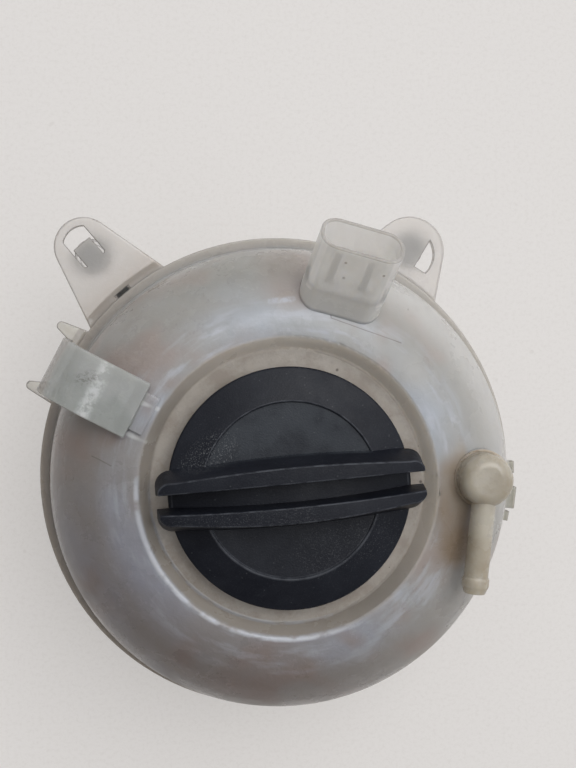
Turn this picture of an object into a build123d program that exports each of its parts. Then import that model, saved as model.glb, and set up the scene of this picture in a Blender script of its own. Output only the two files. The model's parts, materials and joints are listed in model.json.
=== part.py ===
from build123d import *
from math import cos, hypot, radians, sin, sqrt
import os

# Coolant expansion tank: two welded translucent shells closed by a black screw cap.
# Millimetres, +Z up along the cap's axis, origin at the middle of the flat foot.
# Angles are in degrees about Z, from +X towards +Y.

# Tank shells
WALL = 3.0
FLANGE_Z = 60.0             # weld plane between the two shells
SHELL_R = 79.0              # outside of both shells at the weld plane
DRAFT = 0.7                 # how far each wall leans in before it curves
FOOT_R = 46.0               # flat foot of the lower shell
BOWL_CURVE_H = 38.0         # height of the curve between foot and wall
CREST_Z = 105.0             # highest ring of the shoulder
CREST_R = 50.3
SHOULDER_START = 14.0       # straight wall above the weld plane

# Weld flange of the lower shell, with a gutter behind its raised lip
FLANGE_R = 83.0
FLANGE_T = 3.6
LIP_W = 3.4
LIP_H = 1.0
GUTTER_DEPTH = 1.2

# Recess, well and filler neck
LIP_R = 48.4                # top edge of the recess
LEDGE_R = 44.9
LEDGE_Z = 98.6
RECESS_ROUND = 1.2
NECK_ROUND = 0.5
NECK_Z = 103.5              # sealing edge of the neck
NECK_R = 29.5               # thread root
NECK_BORE_R = 25.5
SLEEVE_WALL = 3.0
SLEEVE_BOTTOM_Z = 76.0

# Screw thread
THREAD_H = 2.0
THREAD_PITCH = 6.0
THREAD_TURNS = 1.25
THREAD_ROOT_W = 3.2
THREAD_TIP_W = 1.5
THREAD_GAP = 0.4            # radial clearance at tip and root
THREAD_SINK = 0.6           # how deep a ridge stands in its wall
THREAD_TO_EDGE = 0.4        # ridge to the neck's sealing edge

# Screw cap
CAP_R = 39.0
CAP_RIM_T = 2.4
CAP_RIM_Z = 107.4           # top of the rim
CAP_RIM_ROUND = 0.9
CAP_DISH_R = 28.2           # edge of the shallow round dish
CAP_DISH_EDGE = 0.4
CAP_DISH_Z = 111.4          # top of the dish's edge
CAP_DISH_DEPTH = 0.8
CAP_TOP_T = 2.6
SKIRT_WALL = 3.4
SKIRT_TO_FLOOR = 1.6        # skirt's end above the well's floor
SKIRT_TO_WELL = 1.6         # skirt to the well's outer wall

# Grip of the cap: two drafted bars with an arched web between them
GRIP_ANGLE = 4.8
GRIP_LENGTH = 85.4
GRIP_GROOVE = 4.2           # between the bars at their foot
GRIP_DRAFT = 1.5            # lean of each wall of the groove
GRIP_END_W = 7.6            # width of a bar's foot at its ends
GRIP_MID_W = 9.5            # and at its middle
GRIP_TOP_END_W = 1.7        # the same at the height of the crown
GRIP_TOP_MID_W = 5.1
GRIP_TOP_SET_IN = 1.6       # how much shorter the top is at each end
GRIP_NOSE = 4.4             # length of the round on a bar's outer corner
GRIP_END_FLAT = 0.35        # share of a bar's end that is left square
GRIP_CROWN_Z = 124.5        # top of the bars at their middle
GRIP_END_Z = 118.0          # and at their ends
GRIP_OVER_RIM = 1.0         # underside of the bars above the rim's top
WEB_CROWN_Z = 116.5
WEB_END_RISE = 1.0          # web's ends above the rim's top

# Hooks and ring inside the cap, which carry the valve housing
HOOK_COUNT = 4
HOOK_ANGLE = 32.0
HOOK_T = 0.9
HOOK_BITE = 0.8             # reach under the housing's flange
HOOK_GAP = 0.2
PRESS_RING_R = 24.0
PRESS_RING_W = 2.0

# Valve housing
BARREL_GAP = 0.7            # barrel to neck bore
BARREL_WALL = 4.0
BARREL_BOTTOM_Z = 72.0
HOUSING_FLANGE_R = 29.0
HOUSING_FLANGE_T = 2.0
NECK_SEAL_T = 1.5
NECK_SEAL_W = 2.2
NECK_SEAL_GAP = 0.1
O_RING_D = 2.6
O_RING_GAP = 0.35           # ring to neck bore
O_RING_SEAT = 0.05          # ring to its groove
UPPER_RING_Z = 96.0
LOWER_RING_Z = 83.0
HOUSING_FLOOR_T = 2.5
PORT_R = 9.0
SEAT_W = 2.5
SEAT_H = 1.0
RIB_COUNT = 4
RIB_T = 2.0

# Spring retainer, held between the housing's ribs and a bead
RETAINER_Z = 95.0
RETAINER_T = 2.2
RETAINER_GAP = 0.2
RETAINER_BOSS_H = 2.5
RETAINER_HOLE_R = 4.0
VENT_R = 1.8
VENT_COUNT = 6
BEAD_H = 0.8

# Pressure valve
PLATE_R = 15.2
PLATE_T = 2.0
PLATE_GAP = 0.4             # plate to the housing's ribs
PRESSURE_SEAL_T = 1.5
PRESSURE_SEAL_OVER = 2.0    # reach past the seat
HUB_GAP = 0.4               # hub to the port's edge
HUB_DROP = 1.4
PRESSURE_COIL_R = 11.4
PRESSURE_WIRE_R = 0.8
PRESSURE_COILS = 5
COIL_GAP = 0.05             # spring end to its seat
COIL_TO_BOSS = 0.8

# Vacuum valve
VACUUM_DISC_R = 7.0
VACUUM_DISC_T = 1.8
VACUUM_SEAL_R = 6.8
VACUUM_SEAL_T = 1.2
STEM_R = 1.5
STEM_GAP = 0.35
STEM_TIP = 1.0
STEM_GROOVE = 0.3
STEM_CLIP_R = 4.0
STEM_CLIP_T = 1.5
STEM_CLIP_GAP = 0.05
STEM_CLIP_RISE = 7.5        # clip above the pressure plate
AIR_HOLE_R = 0.9
AIR_HOLE_CIRCLE_R = 4.6
AIR_HOLE_COUNT = 4
VACUUM_COIL_R = 2.9
VACUUM_WIRE_R = 0.3
VACUUM_COILS = 6

# Level sensor socket, leaning out of the shoulder
SOCKET_ANGLE = 74.6
SOCKET_LEAN = 45.0
SOCKET_FOOT_R = 63.9        # where its axis leaves the shoulder
SOCKET_LENGTH = 24.5
SOCKET_W = 27.0
SOCKET_H = 14.5
SOCKET_CORNER_R = 6.0
SOCKET_WALL = 1.2
SOCKET_FLOOR = 5.0          # floor of the socket above the shoulder
PIN_R = 1.2
PIN_SPACING = 11.0
PIN_UP = 11.0               # pin above the socket's floor
PIN_DOWN = 14.0             # pin below the shoulder, into the tank
PIN_GAP = 0.02

# Hose clip: a bent strip on the shoulder
CLIP_ANGLE = 152.5
CLIP_W = 19.0
CLIP_T = 2.6
CLIP_INNER_R = 54.5
CLIP_OUTER_R = 86.2
CLIP_BEND_R = 16.0
CLIP_RISE = 3.2             # top of the strip above the crest
CLIP_DROP = 26.0            # length of the strip below its top
CLIP_FOOT_L = 4.0
CLIP_FOOT_SET_IN = 0.6
CLIP_PAD_W = 13.0
CLIP_PAD_H = 1.0
CLIP_PAD_TO_LIP = 1.4

# Hose elbow on a boss of the shoulder
ELBOW_CENTRE_R = 63.0
ELBOW_ANGLE = 2.2
ELBOW_TURN = -95.8          # direction of its spigot
BOSS_R = 9.4
BOSS_ROUND = 0.5
KNOB_R = 8.6
KNOB_H = 9.6
KNOB_DOME = 4.2
RETURN_R = 3.9
RETURN_BORE_R = 2.6
RETURN_LENGTH = 36.7        # from the knob's axis
RETURN_RISE = 4.6           # spigot's axis above the boss
RETURN_BEAD_H = 0.5
RETURN_BEAD_L = 2.0
RETURN_BEAD_BACK = 2.6      # bead behind the spigot's end
KNOB_BORE_R = 3.0

# Outlet spigot of the lower shell
OUTLET_ANGLE = -60.0
OUTLET_Z = 17.0
OUTLET_R = 10.0
OUTLET_BORE_R = 8.0
OUTLET_END_R = 92.0
OUTLET_BEAD_H = 0.8
OUTLET_BEAD_L = 2.5
OUTLET_BEAD_BACK = 2.0

# Crossed baffles inside the lower shell
BAFFLE_T = 2.4
BAFFLE_BELOW_WELD = 6.0
BAFFLE_NOTCH_W = 14.0
BAFFLE_NOTCH_H = 10.0

# Mounting ears: flat tongues of the flange, each with a peg below
EAR_T = 3.0
EAR_ROUND = 0.8
EAR_ROOT_IN = 6.0           # how far an ear's root reaches into the flange
FRONT_EAR_ANGLE = 130.3
FRONT_TIP_CENTRE_R = 104.5
FRONT_TIP_R = 10.4
FRONT_ROOT_HALF_W = 18.0
REAR_EAR_ANGLE = 58.75
REAR_TIP_CENTRE_R = 92.2
REAR_TIP_R = 12.4
REAR_ROOT_HALF_W = 19.0

# Windows and pegs of the ears
PEG_LENGTH = 12.0
PEG_NECK_L = 1.2
PEG_NECK_R = 3.4
PEG_CHAMFER = 1.2
FRONT_PEG_R = 6.0
FRONT_PEG_SET_IN = 4.0      # peg's axis inside the tip's centre
FRONT_WINDOW_R = 7.2
FRONT_WINDOW_W = 9.2
FRONT_TONGUE_W = 7.4
FRONT_TONGUE_END = 1.3      # tongue's end beyond the tip's centre
FRONT_SLIT_END = 6.0        # slits' end inside the tip's centre
REAR_PEG_R = 5.0
REAR_WINDOW_R = 9.2
REAR_WINDOW_SET_IN = 1.2
REAR_WINDOW_CUT = 3.8       # window's straight end inside the tip's centre
REAR_WINDOW_TO_PEG = 4.2    # window's straight side beside the peg's axis
ROOT_SLIT_L = 6.0
ROOT_SLIT_W = 1.0
ROOT_SLIT_DEPTH = 2.0
ROOT_SLIT_OUT = 0.8         # slit's middle beyond the flange

# Prongs and lugs on the flange's edge
PRONG_ANGLES = (145.4, 160.0)
PRONG_OUT = 10.3
PRONG_ROOT_W = 9.0
PRONG_NOSE_R = 1.6
PRONG_T = 2.4
LUG_ANGLES = (0.8, -6.6, -11.2)
LUG_WIDTHS = (4.4, 8.0, 3.6)
LUG_OUT = (3.0, 4.1, 2.7)

# Values that follow from the sizes above
WALL_TOP_R = SHELL_R - DRAFT
SHOULDER_Z = FLANGE_Z + SHOULDER_START
SHOULDER_A = WALL_TOP_R - CREST_R
SHOULDER_B = CREST_Z - SHOULDER_Z
BOWL_A = WALL_TOP_R - FOOT_R
GUTTER_Z = FLANGE_Z - GUTTER_DEPTH
FLANGE_BOTTOM_Z = FLANGE_Z - FLANGE_T
THREAD_R = NECK_R + THREAD_H
SKIRT_BORE_R = THREAD_R + THREAD_GAP
SKIRT_R = SKIRT_BORE_R + SKIRT_WALL
WELL_R = SKIRT_R + SKIRT_TO_WELL
THREAD_TOP_Z = NECK_Z - THREAD_TO_EDGE - THREAD_ROOT_W / 2
THREAD_BOTTOM_Z = THREAD_TOP_Z - THREAD_TURNS * THREAD_PITCH
SKIRT_BOTTOM_Z = THREAD_BOTTOM_Z - THREAD_ROOT_W / 2 - THREAD_SINK
WELL_Z = SKIRT_BOTTOM_Z - SKIRT_TO_FLOOR
HOUSING_FLANGE_Z = NECK_Z + NECK_SEAL_T
HOUSING_TOP_Z = HOUSING_FLANGE_Z + HOUSING_FLANGE_T
CAP_FLOOR_Z = CAP_DISH_Z - CAP_DISH_DEPTH
CAP_CEILING_Z = CAP_FLOOR_Z - CAP_TOP_T
BARREL_R = NECK_BORE_R - BARREL_GAP
CHAMBER_R = BARREL_R - BARREL_WALL
CHAMBER_Z = BARREL_BOTTOM_Z + HOUSING_FLOOR_T
SEAT_Z = CHAMBER_Z + SEAT_H
PLATE_Z = SEAT_Z + PRESSURE_SEAL_T
PLATE_TOP_Z = PLATE_Z + PLATE_T
HUB_R = PORT_R - HUB_GAP
HUB_Z = PLATE_Z - HUB_DROP
VACUUM_DISC_Z = HUB_Z - VACUUM_SEAL_T
STEM_CLIP_Z = PLATE_TOP_Z + STEM_CLIP_RISE
O_RING_CENTRE_R = NECK_BORE_R - O_RING_GAP - O_RING_D / 2
RETURN_Z = CREST_Z + RETURN_RISE


def turned(*edges):
    """Solid of revolution about Z, from an outline with X as radius and Y as height."""
    return revolve(Plane.XZ * make_face(edges), axis=Axis.Z)


def rod(radius, bottom_z, top_z):
    """Upright cylinder on the axis."""
    return extrude(Pos(0, 0, bottom_z) * Circle(radius), top_z - bottom_z)


def ring(inner_r, outer_r, bottom_z, top_z):
    """Upright ring on the axis."""
    return rod(outer_r, bottom_z, top_z) - rod(inner_r, bottom_z, top_z)


def polar(radius, angle):
    return Pos(radius * cos(radians(angle)), radius * sin(radians(angle)), 0)


def radial_plane(angle):
    """Plane through the axis: its X runs outwards at the angle, its Y runs up."""
    outwards = Vector(1, 0, 0).rotate(Axis.Z, angle)
    return Plane((0, 0, 0), x_dir=outwards, z_dir=Vector(0, -1, 0).rotate(Axis.Z, angle))


def radial_slab(angle, outline, width):
    """An outline in the radial plane, given its width across that plane."""
    return extrude(radial_plane(angle) * make_face(outline), width / 2, both=True)


def box_outline(low_x, high_x, low_y, high_y):
    return Polyline((low_x, low_y), (high_x, low_y), (high_x, high_y), (low_x, high_y), close=True).edges()


def plate(outline, bottom_z, thickness):
    return extrude(Pos(0, 0, bottom_z) * outline, thickness)


def shoulder_z(radius):
    """Height of the upper shell's outside at a radius on the shoulder."""
    return SHOULDER_Z + SHOULDER_B * sqrt(1 - ((radius - CREST_R) / SHOULDER_A) ** 2)


def thread_ridge(root_r, tip_r):
    """Right-hand ridge with sloped flanks, sunk into the wall that carries it."""
    path = Pos(0, 0, THREAD_BOTTOM_Z) * Helix(THREAD_PITCH, THREAD_PITCH * THREAD_TURNS, root_r)
    half_root = THREAD_ROOT_W / 2
    half_tip = THREAD_TIP_W / 2
    sunk_r = root_r + THREAD_SINK * (root_r - tip_r) / abs(root_r - tip_r)
    half_sunk = half_root + THREAD_SINK * (half_root - half_tip) / abs(root_r - tip_r)
    outline = Polyline(
        (sunk_r, -half_sunk), (tip_r, -half_tip), (tip_r, half_tip), (sunk_r, half_sunk), close=True,
    )
    section = Plane.XZ * Pos(0, THREAD_BOTTOM_Z) * make_face(outline.edges())
    return sweep(section, path=path, is_frenet=True)


def coil(radius, wire_r, coils, bottom_z, top_z):
    """Spring wire between two seats."""
    low_z = bottom_z + wire_r + COIL_GAP
    height = top_z - bottom_z - 2 * (wire_r + COIL_GAP)
    path = Pos(0, 0, low_z) * Helix(height / coils, height, radius)
    section = Plane(origin=path @ 0, z_dir=path % 0) * Circle(wire_r)
    return sweep(section, path=path, is_frenet=True)


def hose_spigot(radius, length, bead_h, bead_l, bead_back):
    """Spigot along +X from the origin, with a bead to hold a hose."""
    bead_end = length - bead_back
    bead_start = bead_end - bead_l
    outline = Polyline(
        (0, 0), (0, radius), (bead_start - 2 * bead_h, radius), (bead_start, radius + bead_h),
        (bead_end, radius + bead_h), (length, radius - bead_h), (length, 0), close=True,
    )
    return revolve(make_face(outline.edges()), axis=Axis.X)


# Level sensor socket

def socket_plane(along):
    """Plane across the socket's axis, at a distance from the shoulder; its X is tangential."""
    outwards = Vector(1, 0, 0).rotate(Axis.Z, SOCKET_ANGLE)
    axis = outwards * sin(radians(SOCKET_LEAN)) + Vector(0, 0, cos(radians(SOCKET_LEAN)))
    foot = outwards * SOCKET_FOOT_R + Vector(0, 0, shoulder_z(SOCKET_FOOT_R))
    return Plane(foot + axis * along, x_dir=outwards.rotate(Axis.Z, 90), z_dir=axis)


def socket_body():
    outline = RectangleRounded(SOCKET_W, SOCKET_H, SOCKET_CORNER_R)
    return extrude(socket_plane(-SOCKET_H) * outline, SOCKET_LENGTH + SOCKET_H)


def socket_hollow():
    inner_w = SOCKET_W - 2 * SOCKET_WALL
    inner_h = SOCKET_H - 2 * SOCKET_WALL
    outline = RectangleRounded(inner_w, inner_h, SOCKET_CORNER_R - SOCKET_WALL)
    return extrude(socket_plane(SOCKET_FLOOR) * outline, SOCKET_LENGTH)


def sensor_pin(side, radius):
    """One contact pin; the same shape, a little wider, is the hole it stands in."""
    spot = Pos(side * PIN_SPACING / 2, 0) * Circle(radius)
    return extrude(socket_plane(-PIN_DOWN) * spot, PIN_DOWN + SOCKET_FLOOR + PIN_UP)


# Upper shell

def hose_clip():
    """Bent strip over the shoulder, with its foot and a pad on the crest."""
    top_z = CREST_Z + CLIP_RISE
    under_z = top_z - CLIP_T
    bend_r = CLIP_OUTER_R - CLIP_BEND_R
    bend_z = top_z - CLIP_BEND_R
    end_z = top_z - CLIP_DROP
    inner_r = CLIP_OUTER_R - CLIP_T
    strip = [
        Line((CLIP_INNER_R, top_z), (bend_r, top_z)),
        CenterArc((bend_r, bend_z), CLIP_BEND_R, 0, 90),
        *Polyline(
            (CLIP_OUTER_R, bend_z), (CLIP_OUTER_R, end_z), (inner_r, end_z), (inner_r, bend_z),
        ).edges(),
        CenterArc((bend_r, bend_z), CLIP_BEND_R - CLIP_T, 0, 90),
        *Polyline((bend_r, under_z), (CLIP_INNER_R, under_z), (CLIP_INNER_R, top_z)).edges(),
    ]
    foot_start = CLIP_INNER_R + CLIP_FOOT_SET_IN
    foot_end = CLIP_INNER_R + CLIP_FOOT_L
    foot = box_outline(foot_start, foot_end, shoulder_z(foot_end) - WALL / 2, top_z - CLIP_T / 2)
    pad = box_outline(LIP_R + CLIP_PAD_TO_LIP, foot_end, CREST_Z - WALL / 2, CREST_Z + CLIP_PAD_H)
    clip = radial_slab(CLIP_ANGLE, strip, CLIP_W)
    clip += radial_slab(CLIP_ANGLE, foot, CLIP_W - 2 * CLIP_FOOT_SET_IN)
    clip += radial_slab(CLIP_ANGLE, pad, CLIP_PAD_W)
    return clip


def upper_outside():
    wall = Polyline((0, FLANGE_Z), (SHELL_R, FLANGE_Z), (WALL_TOP_R, SHOULDER_Z))
    shoulder = EllipticalCenterArc((CREST_R, SHOULDER_Z), SHOULDER_A, SHOULDER_B, 0, arc_size=90)
    recess = FilletPolyline(
        (CREST_R, CREST_Z), (LIP_R, CREST_Z), (LEDGE_R, LEDGE_Z), (WELL_R, LEDGE_Z), (WELL_R, WELL_Z),
        (NECK_R, WELL_Z), (NECK_R, NECK_Z), (0, NECK_Z),
        radius=[RECESS_ROUND, RECESS_ROUND, NECK_ROUND, NECK_ROUND, NECK_ROUND, NECK_ROUND],
    )
    return turned(*wall.edges(), shoulder, *recess.edges(), Line((0, NECK_Z), (0, FLANGE_Z)))


def upper_inside():
    """The hollow under the shell, which leaves the neck's sleeve hanging in it."""
    slope_r = LIP_R - LEDGE_R
    slope_h = CREST_Z - LEDGE_Z
    slope_shift = WALL * hypot(slope_r, slope_h) / slope_h
    crest_z = CREST_Z - WALL
    ledge_z = LEDGE_Z - WALL
    slope_top_r = LEDGE_R + slope_shift + slope_r * (crest_z - LEDGE_Z) / slope_h
    slope_foot_r = LEDGE_R + slope_shift - slope_r * WALL / slope_h
    sleeve_r = NECK_BORE_R + SLEEVE_WALL
    crest_r = max(CREST_R, slope_top_r)
    wall = Polyline((0, FLANGE_Z), (SHELL_R - WALL, FLANGE_Z), (WALL_TOP_R - WALL, SHOULDER_Z))
    across = WALL_TOP_R - WALL - crest_r
    shoulder = EllipticalCenterArc((crest_r, SHOULDER_Z), across, SHOULDER_B - WALL, 0, arc_size=90)
    recess = [(crest_r, crest_z)]
    if crest_r > slope_top_r:
        recess.append((slope_top_r, crest_z))
    recess += [
        (slope_foot_r, ledge_z), (WELL_R + WALL, ledge_z), (WELL_R + WALL, WELL_Z - WALL),
        (sleeve_r, WELL_Z - WALL), (sleeve_r, SLEEVE_BOTTOM_Z), (0, SLEEVE_BOTTOM_Z), (0, FLANGE_Z),
    ]
    return turned(*wall.edges(), shoulder, *Polyline(*recess).edges())


def upper_shell():
    elbow_spot = polar(ELBOW_CENTRE_R, ELBOW_ANGLE)
    boss = rod(BOSS_R, SHOULDER_Z, CREST_Z)
    boss = fillet(boss.edges().group_by(Axis.Z)[-1], BOSS_ROUND)
    shell = upper_outside() + elbow_spot * boss + socket_body() + hose_clip()
    shell -= upper_inside()
    shell -= rod(NECK_BORE_R, SLEEVE_BOTTOM_Z, NECK_Z)
    shell -= elbow_spot * rod(KNOB_BORE_R, SHOULDER_Z, CREST_Z)
    shell -= socket_hollow()
    for side in (-1, 1):
        shell -= sensor_pin(side, PIN_R + PIN_GAP)
    return shell + thread_ridge(NECK_R, THREAD_R)


# Lower shell

def bowl(wall):
    """The bowl as a solid, with all its faces a wall's thickness inside the outside."""
    curve_h = BOWL_CURVE_H - wall
    curve = EllipticalCenterArc((FOOT_R, BOWL_CURVE_H), BOWL_A - wall, curve_h, 270, arc_size=90)
    rim = Polyline(
        (WALL_TOP_R - wall, BOWL_CURVE_H), (SHELL_R - wall, FLANGE_Z), (0, FLANGE_Z), (0, wall),
        (FOOT_R, wall),
    )
    return turned(curve, *rim.edges())


def flange():
    lip_r = FLANGE_R - LIP_W
    lip_z = FLANGE_Z + LIP_H
    root_r = SHELL_R - WALL / 2
    outline = Polyline(
        (root_r, FLANGE_BOTTOM_Z), (FLANGE_R, FLANGE_BOTTOM_Z), (FLANGE_R, lip_z), (lip_r, lip_z),
        (lip_r, GUTTER_Z), (SHELL_R, GUTTER_Z), (SHELL_R, FLANGE_Z), (root_r, FLANGE_Z), close=True,
    )
    return turned(*outline.edges())


def ear_outline(tip_centre_r, tip_r, root_half_w):
    root_r = FLANGE_R - EAR_ROOT_IN
    tip = Pos(tip_centre_r, 0) * Circle(tip_r)
    return make_hull([*tip.edges(), Line((root_r, -root_half_w), (root_r, root_half_w))])


def ear(tip_centre_r, tip_r, root_half_w, window, peg_r, peg_at):
    """Ear along +X with its window cut out and its peg on a short neck below."""
    bottom_z = GUTTER_Z - EAR_T
    peg_top_z = bottom_z - PEG_NECK_L
    body = plate(ear_outline(tip_centre_r, tip_r, root_half_w), bottom_z, EAR_T)
    body = fillet(body.edges().group_by(Axis.Z)[-1], EAR_ROUND)
    body -= plate(window, bottom_z, EAR_T)
    peg = rod(peg_r, peg_top_z - PEG_LENGTH, peg_top_z)
    peg = chamfer(peg.edges().group_by(Axis.Z)[0], PEG_CHAMFER)
    peg += rod(PEG_NECK_R, peg_top_z, bottom_z + EAR_T / 2)
    return body + Pos(peg_at, 0, 0) * peg


def front_ear():
    tongue_end = FRONT_TIP_CENTRE_R + FRONT_TONGUE_END
    slit_end = FRONT_TIP_CENTRE_R - FRONT_SLIT_END
    far_end = FRONT_TIP_CENTRE_R + FRONT_TIP_R
    half_w = FRONT_WINDOW_W / 2
    half_tongue = FRONT_TONGUE_W / 2
    window = Pos(FRONT_TIP_CENTRE_R, 0) * Circle(FRONT_WINDOW_R)
    window &= make_face(box_outline(slit_end, far_end, -half_w, half_w))
    window -= make_face(box_outline(slit_end, tongue_end, -half_tongue, half_tongue))
    peg_at = FRONT_TIP_CENTRE_R - FRONT_PEG_SET_IN
    body = ear(FRONT_TIP_CENTRE_R, FRONT_TIP_R, FRONT_ROOT_HALF_W, window, FRONT_PEG_R, peg_at)
    slit = Pos(FLANGE_R + ROOT_SLIT_OUT, 0) * Rectangle(ROOT_SLIT_W, ROOT_SLIT_L)
    return body - plate(slit, GUTTER_Z - ROOT_SLIT_DEPTH, ROOT_SLIT_DEPTH)


def rear_ear():
    window_at = REAR_TIP_CENTRE_R - REAR_WINDOW_SET_IN
    cut_at = REAR_TIP_CENTRE_R - REAR_WINDOW_CUT
    far_end = REAR_TIP_CENTRE_R + REAR_TIP_R
    window = Pos(window_at, 0) * Circle(REAR_WINDOW_R)
    window &= make_face(box_outline(cut_at, far_end, -REAR_TIP_R, -REAR_WINDOW_TO_PEG))
    return ear(REAR_TIP_CENTRE_R, REAR_TIP_R, REAR_ROOT_HALF_W, window, REAR_PEG_R, REAR_TIP_CENTRE_R)


def prong():
    root_r = FLANGE_R - LIP_W
    nose = Pos(FLANGE_R + PRONG_OUT - PRONG_NOSE_R, 0) * Circle(PRONG_NOSE_R)
    outline = make_hull([*nose.edges(), Line((root_r, -PRONG_ROOT_W / 2), (root_r, PRONG_ROOT_W / 2))])
    return plate(outline, GUTTER_Z - PRONG_T, PRONG_T)


def baffles():
    """Two crossed walls that slow the coolant, each with a notch at the floor."""
    height = FLANGE_Z - BAFFLE_BELOW_WELD
    walls = Part()
    for angle in (0, 90):
        wall = radial_slab(angle, box_outline(-SHELL_R, SHELL_R, 0, height), BAFFLE_T)
        for side in (-1, 1):
            middle = side * FOOT_R / 2
            half_w = BAFFLE_NOTCH_W / 2
            notch = box_outline(middle - half_w, middle + half_w, 0, WALL + BAFFLE_NOTCH_H)
            wall -= radial_slab(angle, notch, BAFFLE_T)
        walls += wall
    return walls & bowl(WALL / 2)


def lower_shell():
    outlet = hose_spigot(OUTLET_R, OUTLET_END_R, OUTLET_BEAD_H, OUTLET_BEAD_L, OUTLET_BEAD_BACK)
    outlet_place = Pos(0, 0, OUTLET_Z) * Rot(0, 0, OUTLET_ANGLE)
    shell = bowl(0) + flange() + outlet_place * outlet
    shell -= bowl(WALL)
    shell += baffles()
    bore_start = FOOT_R
    bore = Pos(bore_start, 0, 0) * Rot(0, 90, 0) * rod(OUTLET_BORE_R, 0, OUTLET_END_R - bore_start)
    shell -= outlet_place * bore
    shell += Rot(0, 0, FRONT_EAR_ANGLE) * front_ear()
    shell += Rot(0, 0, REAR_EAR_ANGLE) * rear_ear()
    for angle in PRONG_ANGLES:
        shell += Rot(0, 0, angle) * prong()
    for angle, width, out in zip(LUG_ANGLES, LUG_WIDTHS, LUG_OUT):
        lug = box_outline(FLANGE_R - LIP_W / 2, FLANGE_R + out, FLANGE_BOTTOM_Z, FLANGE_Z)
        shell += radial_slab(angle, lug, width)
    return shell


# Hose elbow

def hose_elbow():
    knob = rod(KNOB_R, CREST_Z, CREST_Z + KNOB_H)
    knob = fillet(knob.edges().group_by(Axis.Z)[-1], KNOB_DOME)
    spigot = hose_spigot(RETURN_R, RETURN_LENGTH, RETURN_BEAD_H, RETURN_BEAD_L, RETURN_BEAD_BACK)
    spigot_place = Pos(0, 0, RETURN_Z) * Rot(0, 0, ELBOW_TURN)
    elbow = knob + spigot_place * spigot
    elbow -= rod(KNOB_BORE_R, CREST_Z, RETURN_Z)
    elbow -= spigot_place * Rot(0, 90, 0) * rod(RETURN_BORE_R, 0, RETURN_LENGTH)
    return polar(ELBOW_CENTRE_R, ELBOW_ANGLE) * elbow


# Screw cap

def grip_outline(half_length, inner_y, end_w, mid_w):
    """Plan of one bar: straight towards the groove, bowed on its outer side."""
    flat_y = inner_y + end_w * GRIP_END_FLAT
    end_y = inner_y + end_w
    shoulder_x = half_length - GRIP_NOSE
    nose_x = shoulder_x + GRIP_NOSE * cos(radians(45))
    nose_y = flat_y + (end_y - flat_y) * sin(radians(45))
    return make_face([
        Line((-half_length, inner_y), (half_length, inner_y)),
        Line((half_length, inner_y), (half_length, flat_y)),
        ThreePointArc((half_length, flat_y), (nose_x, nose_y), (shoulder_x, end_y)),
        ThreePointArc((shoulder_x, end_y), (0, inner_y + mid_w), (-shoulder_x, end_y)),
        ThreePointArc((-shoulder_x, end_y), (-nose_x, nose_y), (-half_length, flat_y)),
        Line((-half_length, flat_y), (-half_length, inner_y)),
    ])


def arched_slab(half_length, bottom_z, end_z, crown_z, width):
    """Slab along the X axis whose top is an arch."""
    sides = Polyline(
        (-half_length, end_z), (-half_length, bottom_z), (half_length, bottom_z), (half_length, end_z),
    )
    arch = ThreePointArc((half_length, end_z), (0, crown_z), (-half_length, end_z))
    return radial_slab(0, [*sides.edges(), arch], width)


def grip():
    """Both bars, their tops cut to one arch, and the web that fills the groove's foot."""
    half_length = GRIP_LENGTH / 2
    bottom_z = CAP_RIM_Z + GRIP_OVER_RIM
    foot_y = GRIP_GROOVE / 2
    top_y = foot_y + GRIP_DRAFT
    bottom = grip_outline(half_length, foot_y, GRIP_END_W, GRIP_MID_W)
    top = grip_outline(half_length - GRIP_TOP_SET_IN, top_y, GRIP_TOP_END_W, GRIP_TOP_MID_W)
    bar = loft([Pos(0, 0, bottom_z) * bottom, Pos(0, 0, GRIP_CROWN_Z) * top], ruled=True)
    bars = bar + Rot(0, 0, 180) * bar
    bars &= arched_slab(half_length, bottom_z, GRIP_END_Z, GRIP_CROWN_Z, 2 * (foot_y + GRIP_MID_W))
    web_half_length = CAP_R - CAP_RIM_ROUND
    web_bottom_z = CAP_RIM_Z - CAP_RIM_T / 2
    web_end_z = CAP_RIM_Z + WEB_END_RISE
    return bars + arched_slab(web_half_length, web_bottom_z, web_end_z, WEB_CROWN_Z, 2 * top_y)


def cap_hooks():
    hooks = Part()
    top_z = HOUSING_FLANGE_Z - HOOK_GAP
    outline = box_outline(HOUSING_FLANGE_R - HOOK_BITE, SKIRT_BORE_R + THREAD_SINK, top_z - HOOK_T, top_z)
    for index in range(HOOK_COUNT):
        hook = revolve(Plane.XZ * make_face(outline), axis=Axis.Z, revolution_arc=HOOK_ANGLE)
        hooks += Rot(0, 0, index * 360 / HOOK_COUNT) * hook
    return hooks


def cap_shell():
    rim_bottom_z = CAP_RIM_Z - CAP_RIM_T
    profile = FilletPolyline(
        (0, SKIRT_BOTTOM_Z), (SKIRT_R, SKIRT_BOTTOM_Z), (SKIRT_R, rim_bottom_z), (CAP_R, rim_bottom_z),
        (CAP_R, CAP_RIM_Z), (CAP_DISH_R, CAP_DISH_Z), (CAP_DISH_R - CAP_DISH_EDGE, CAP_FLOOR_Z),
        (0, CAP_FLOOR_Z),
        radius=[0, 0, CAP_RIM_ROUND, CAP_RIM_ROUND, 0, 0],
    )
    cap = turned(*profile.edges(), Line((0, CAP_FLOOR_Z), (0, SKIRT_BOTTOM_Z)))
    cap += Rot(0, 0, GRIP_ANGLE) * grip()
    cap -= rod(SKIRT_BORE_R, SKIRT_BOTTOM_Z, CAP_CEILING_Z)
    cap += ring(PRESS_RING_R, PRESS_RING_R + PRESS_RING_W, HOUSING_TOP_Z, CAP_CEILING_Z)
    cap += cap_hooks()
    return cap + Rot(0, 0, 180) * thread_ridge(SKIRT_BORE_R, NECK_R + THREAD_GAP)


# Valve housing and its seals

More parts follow.
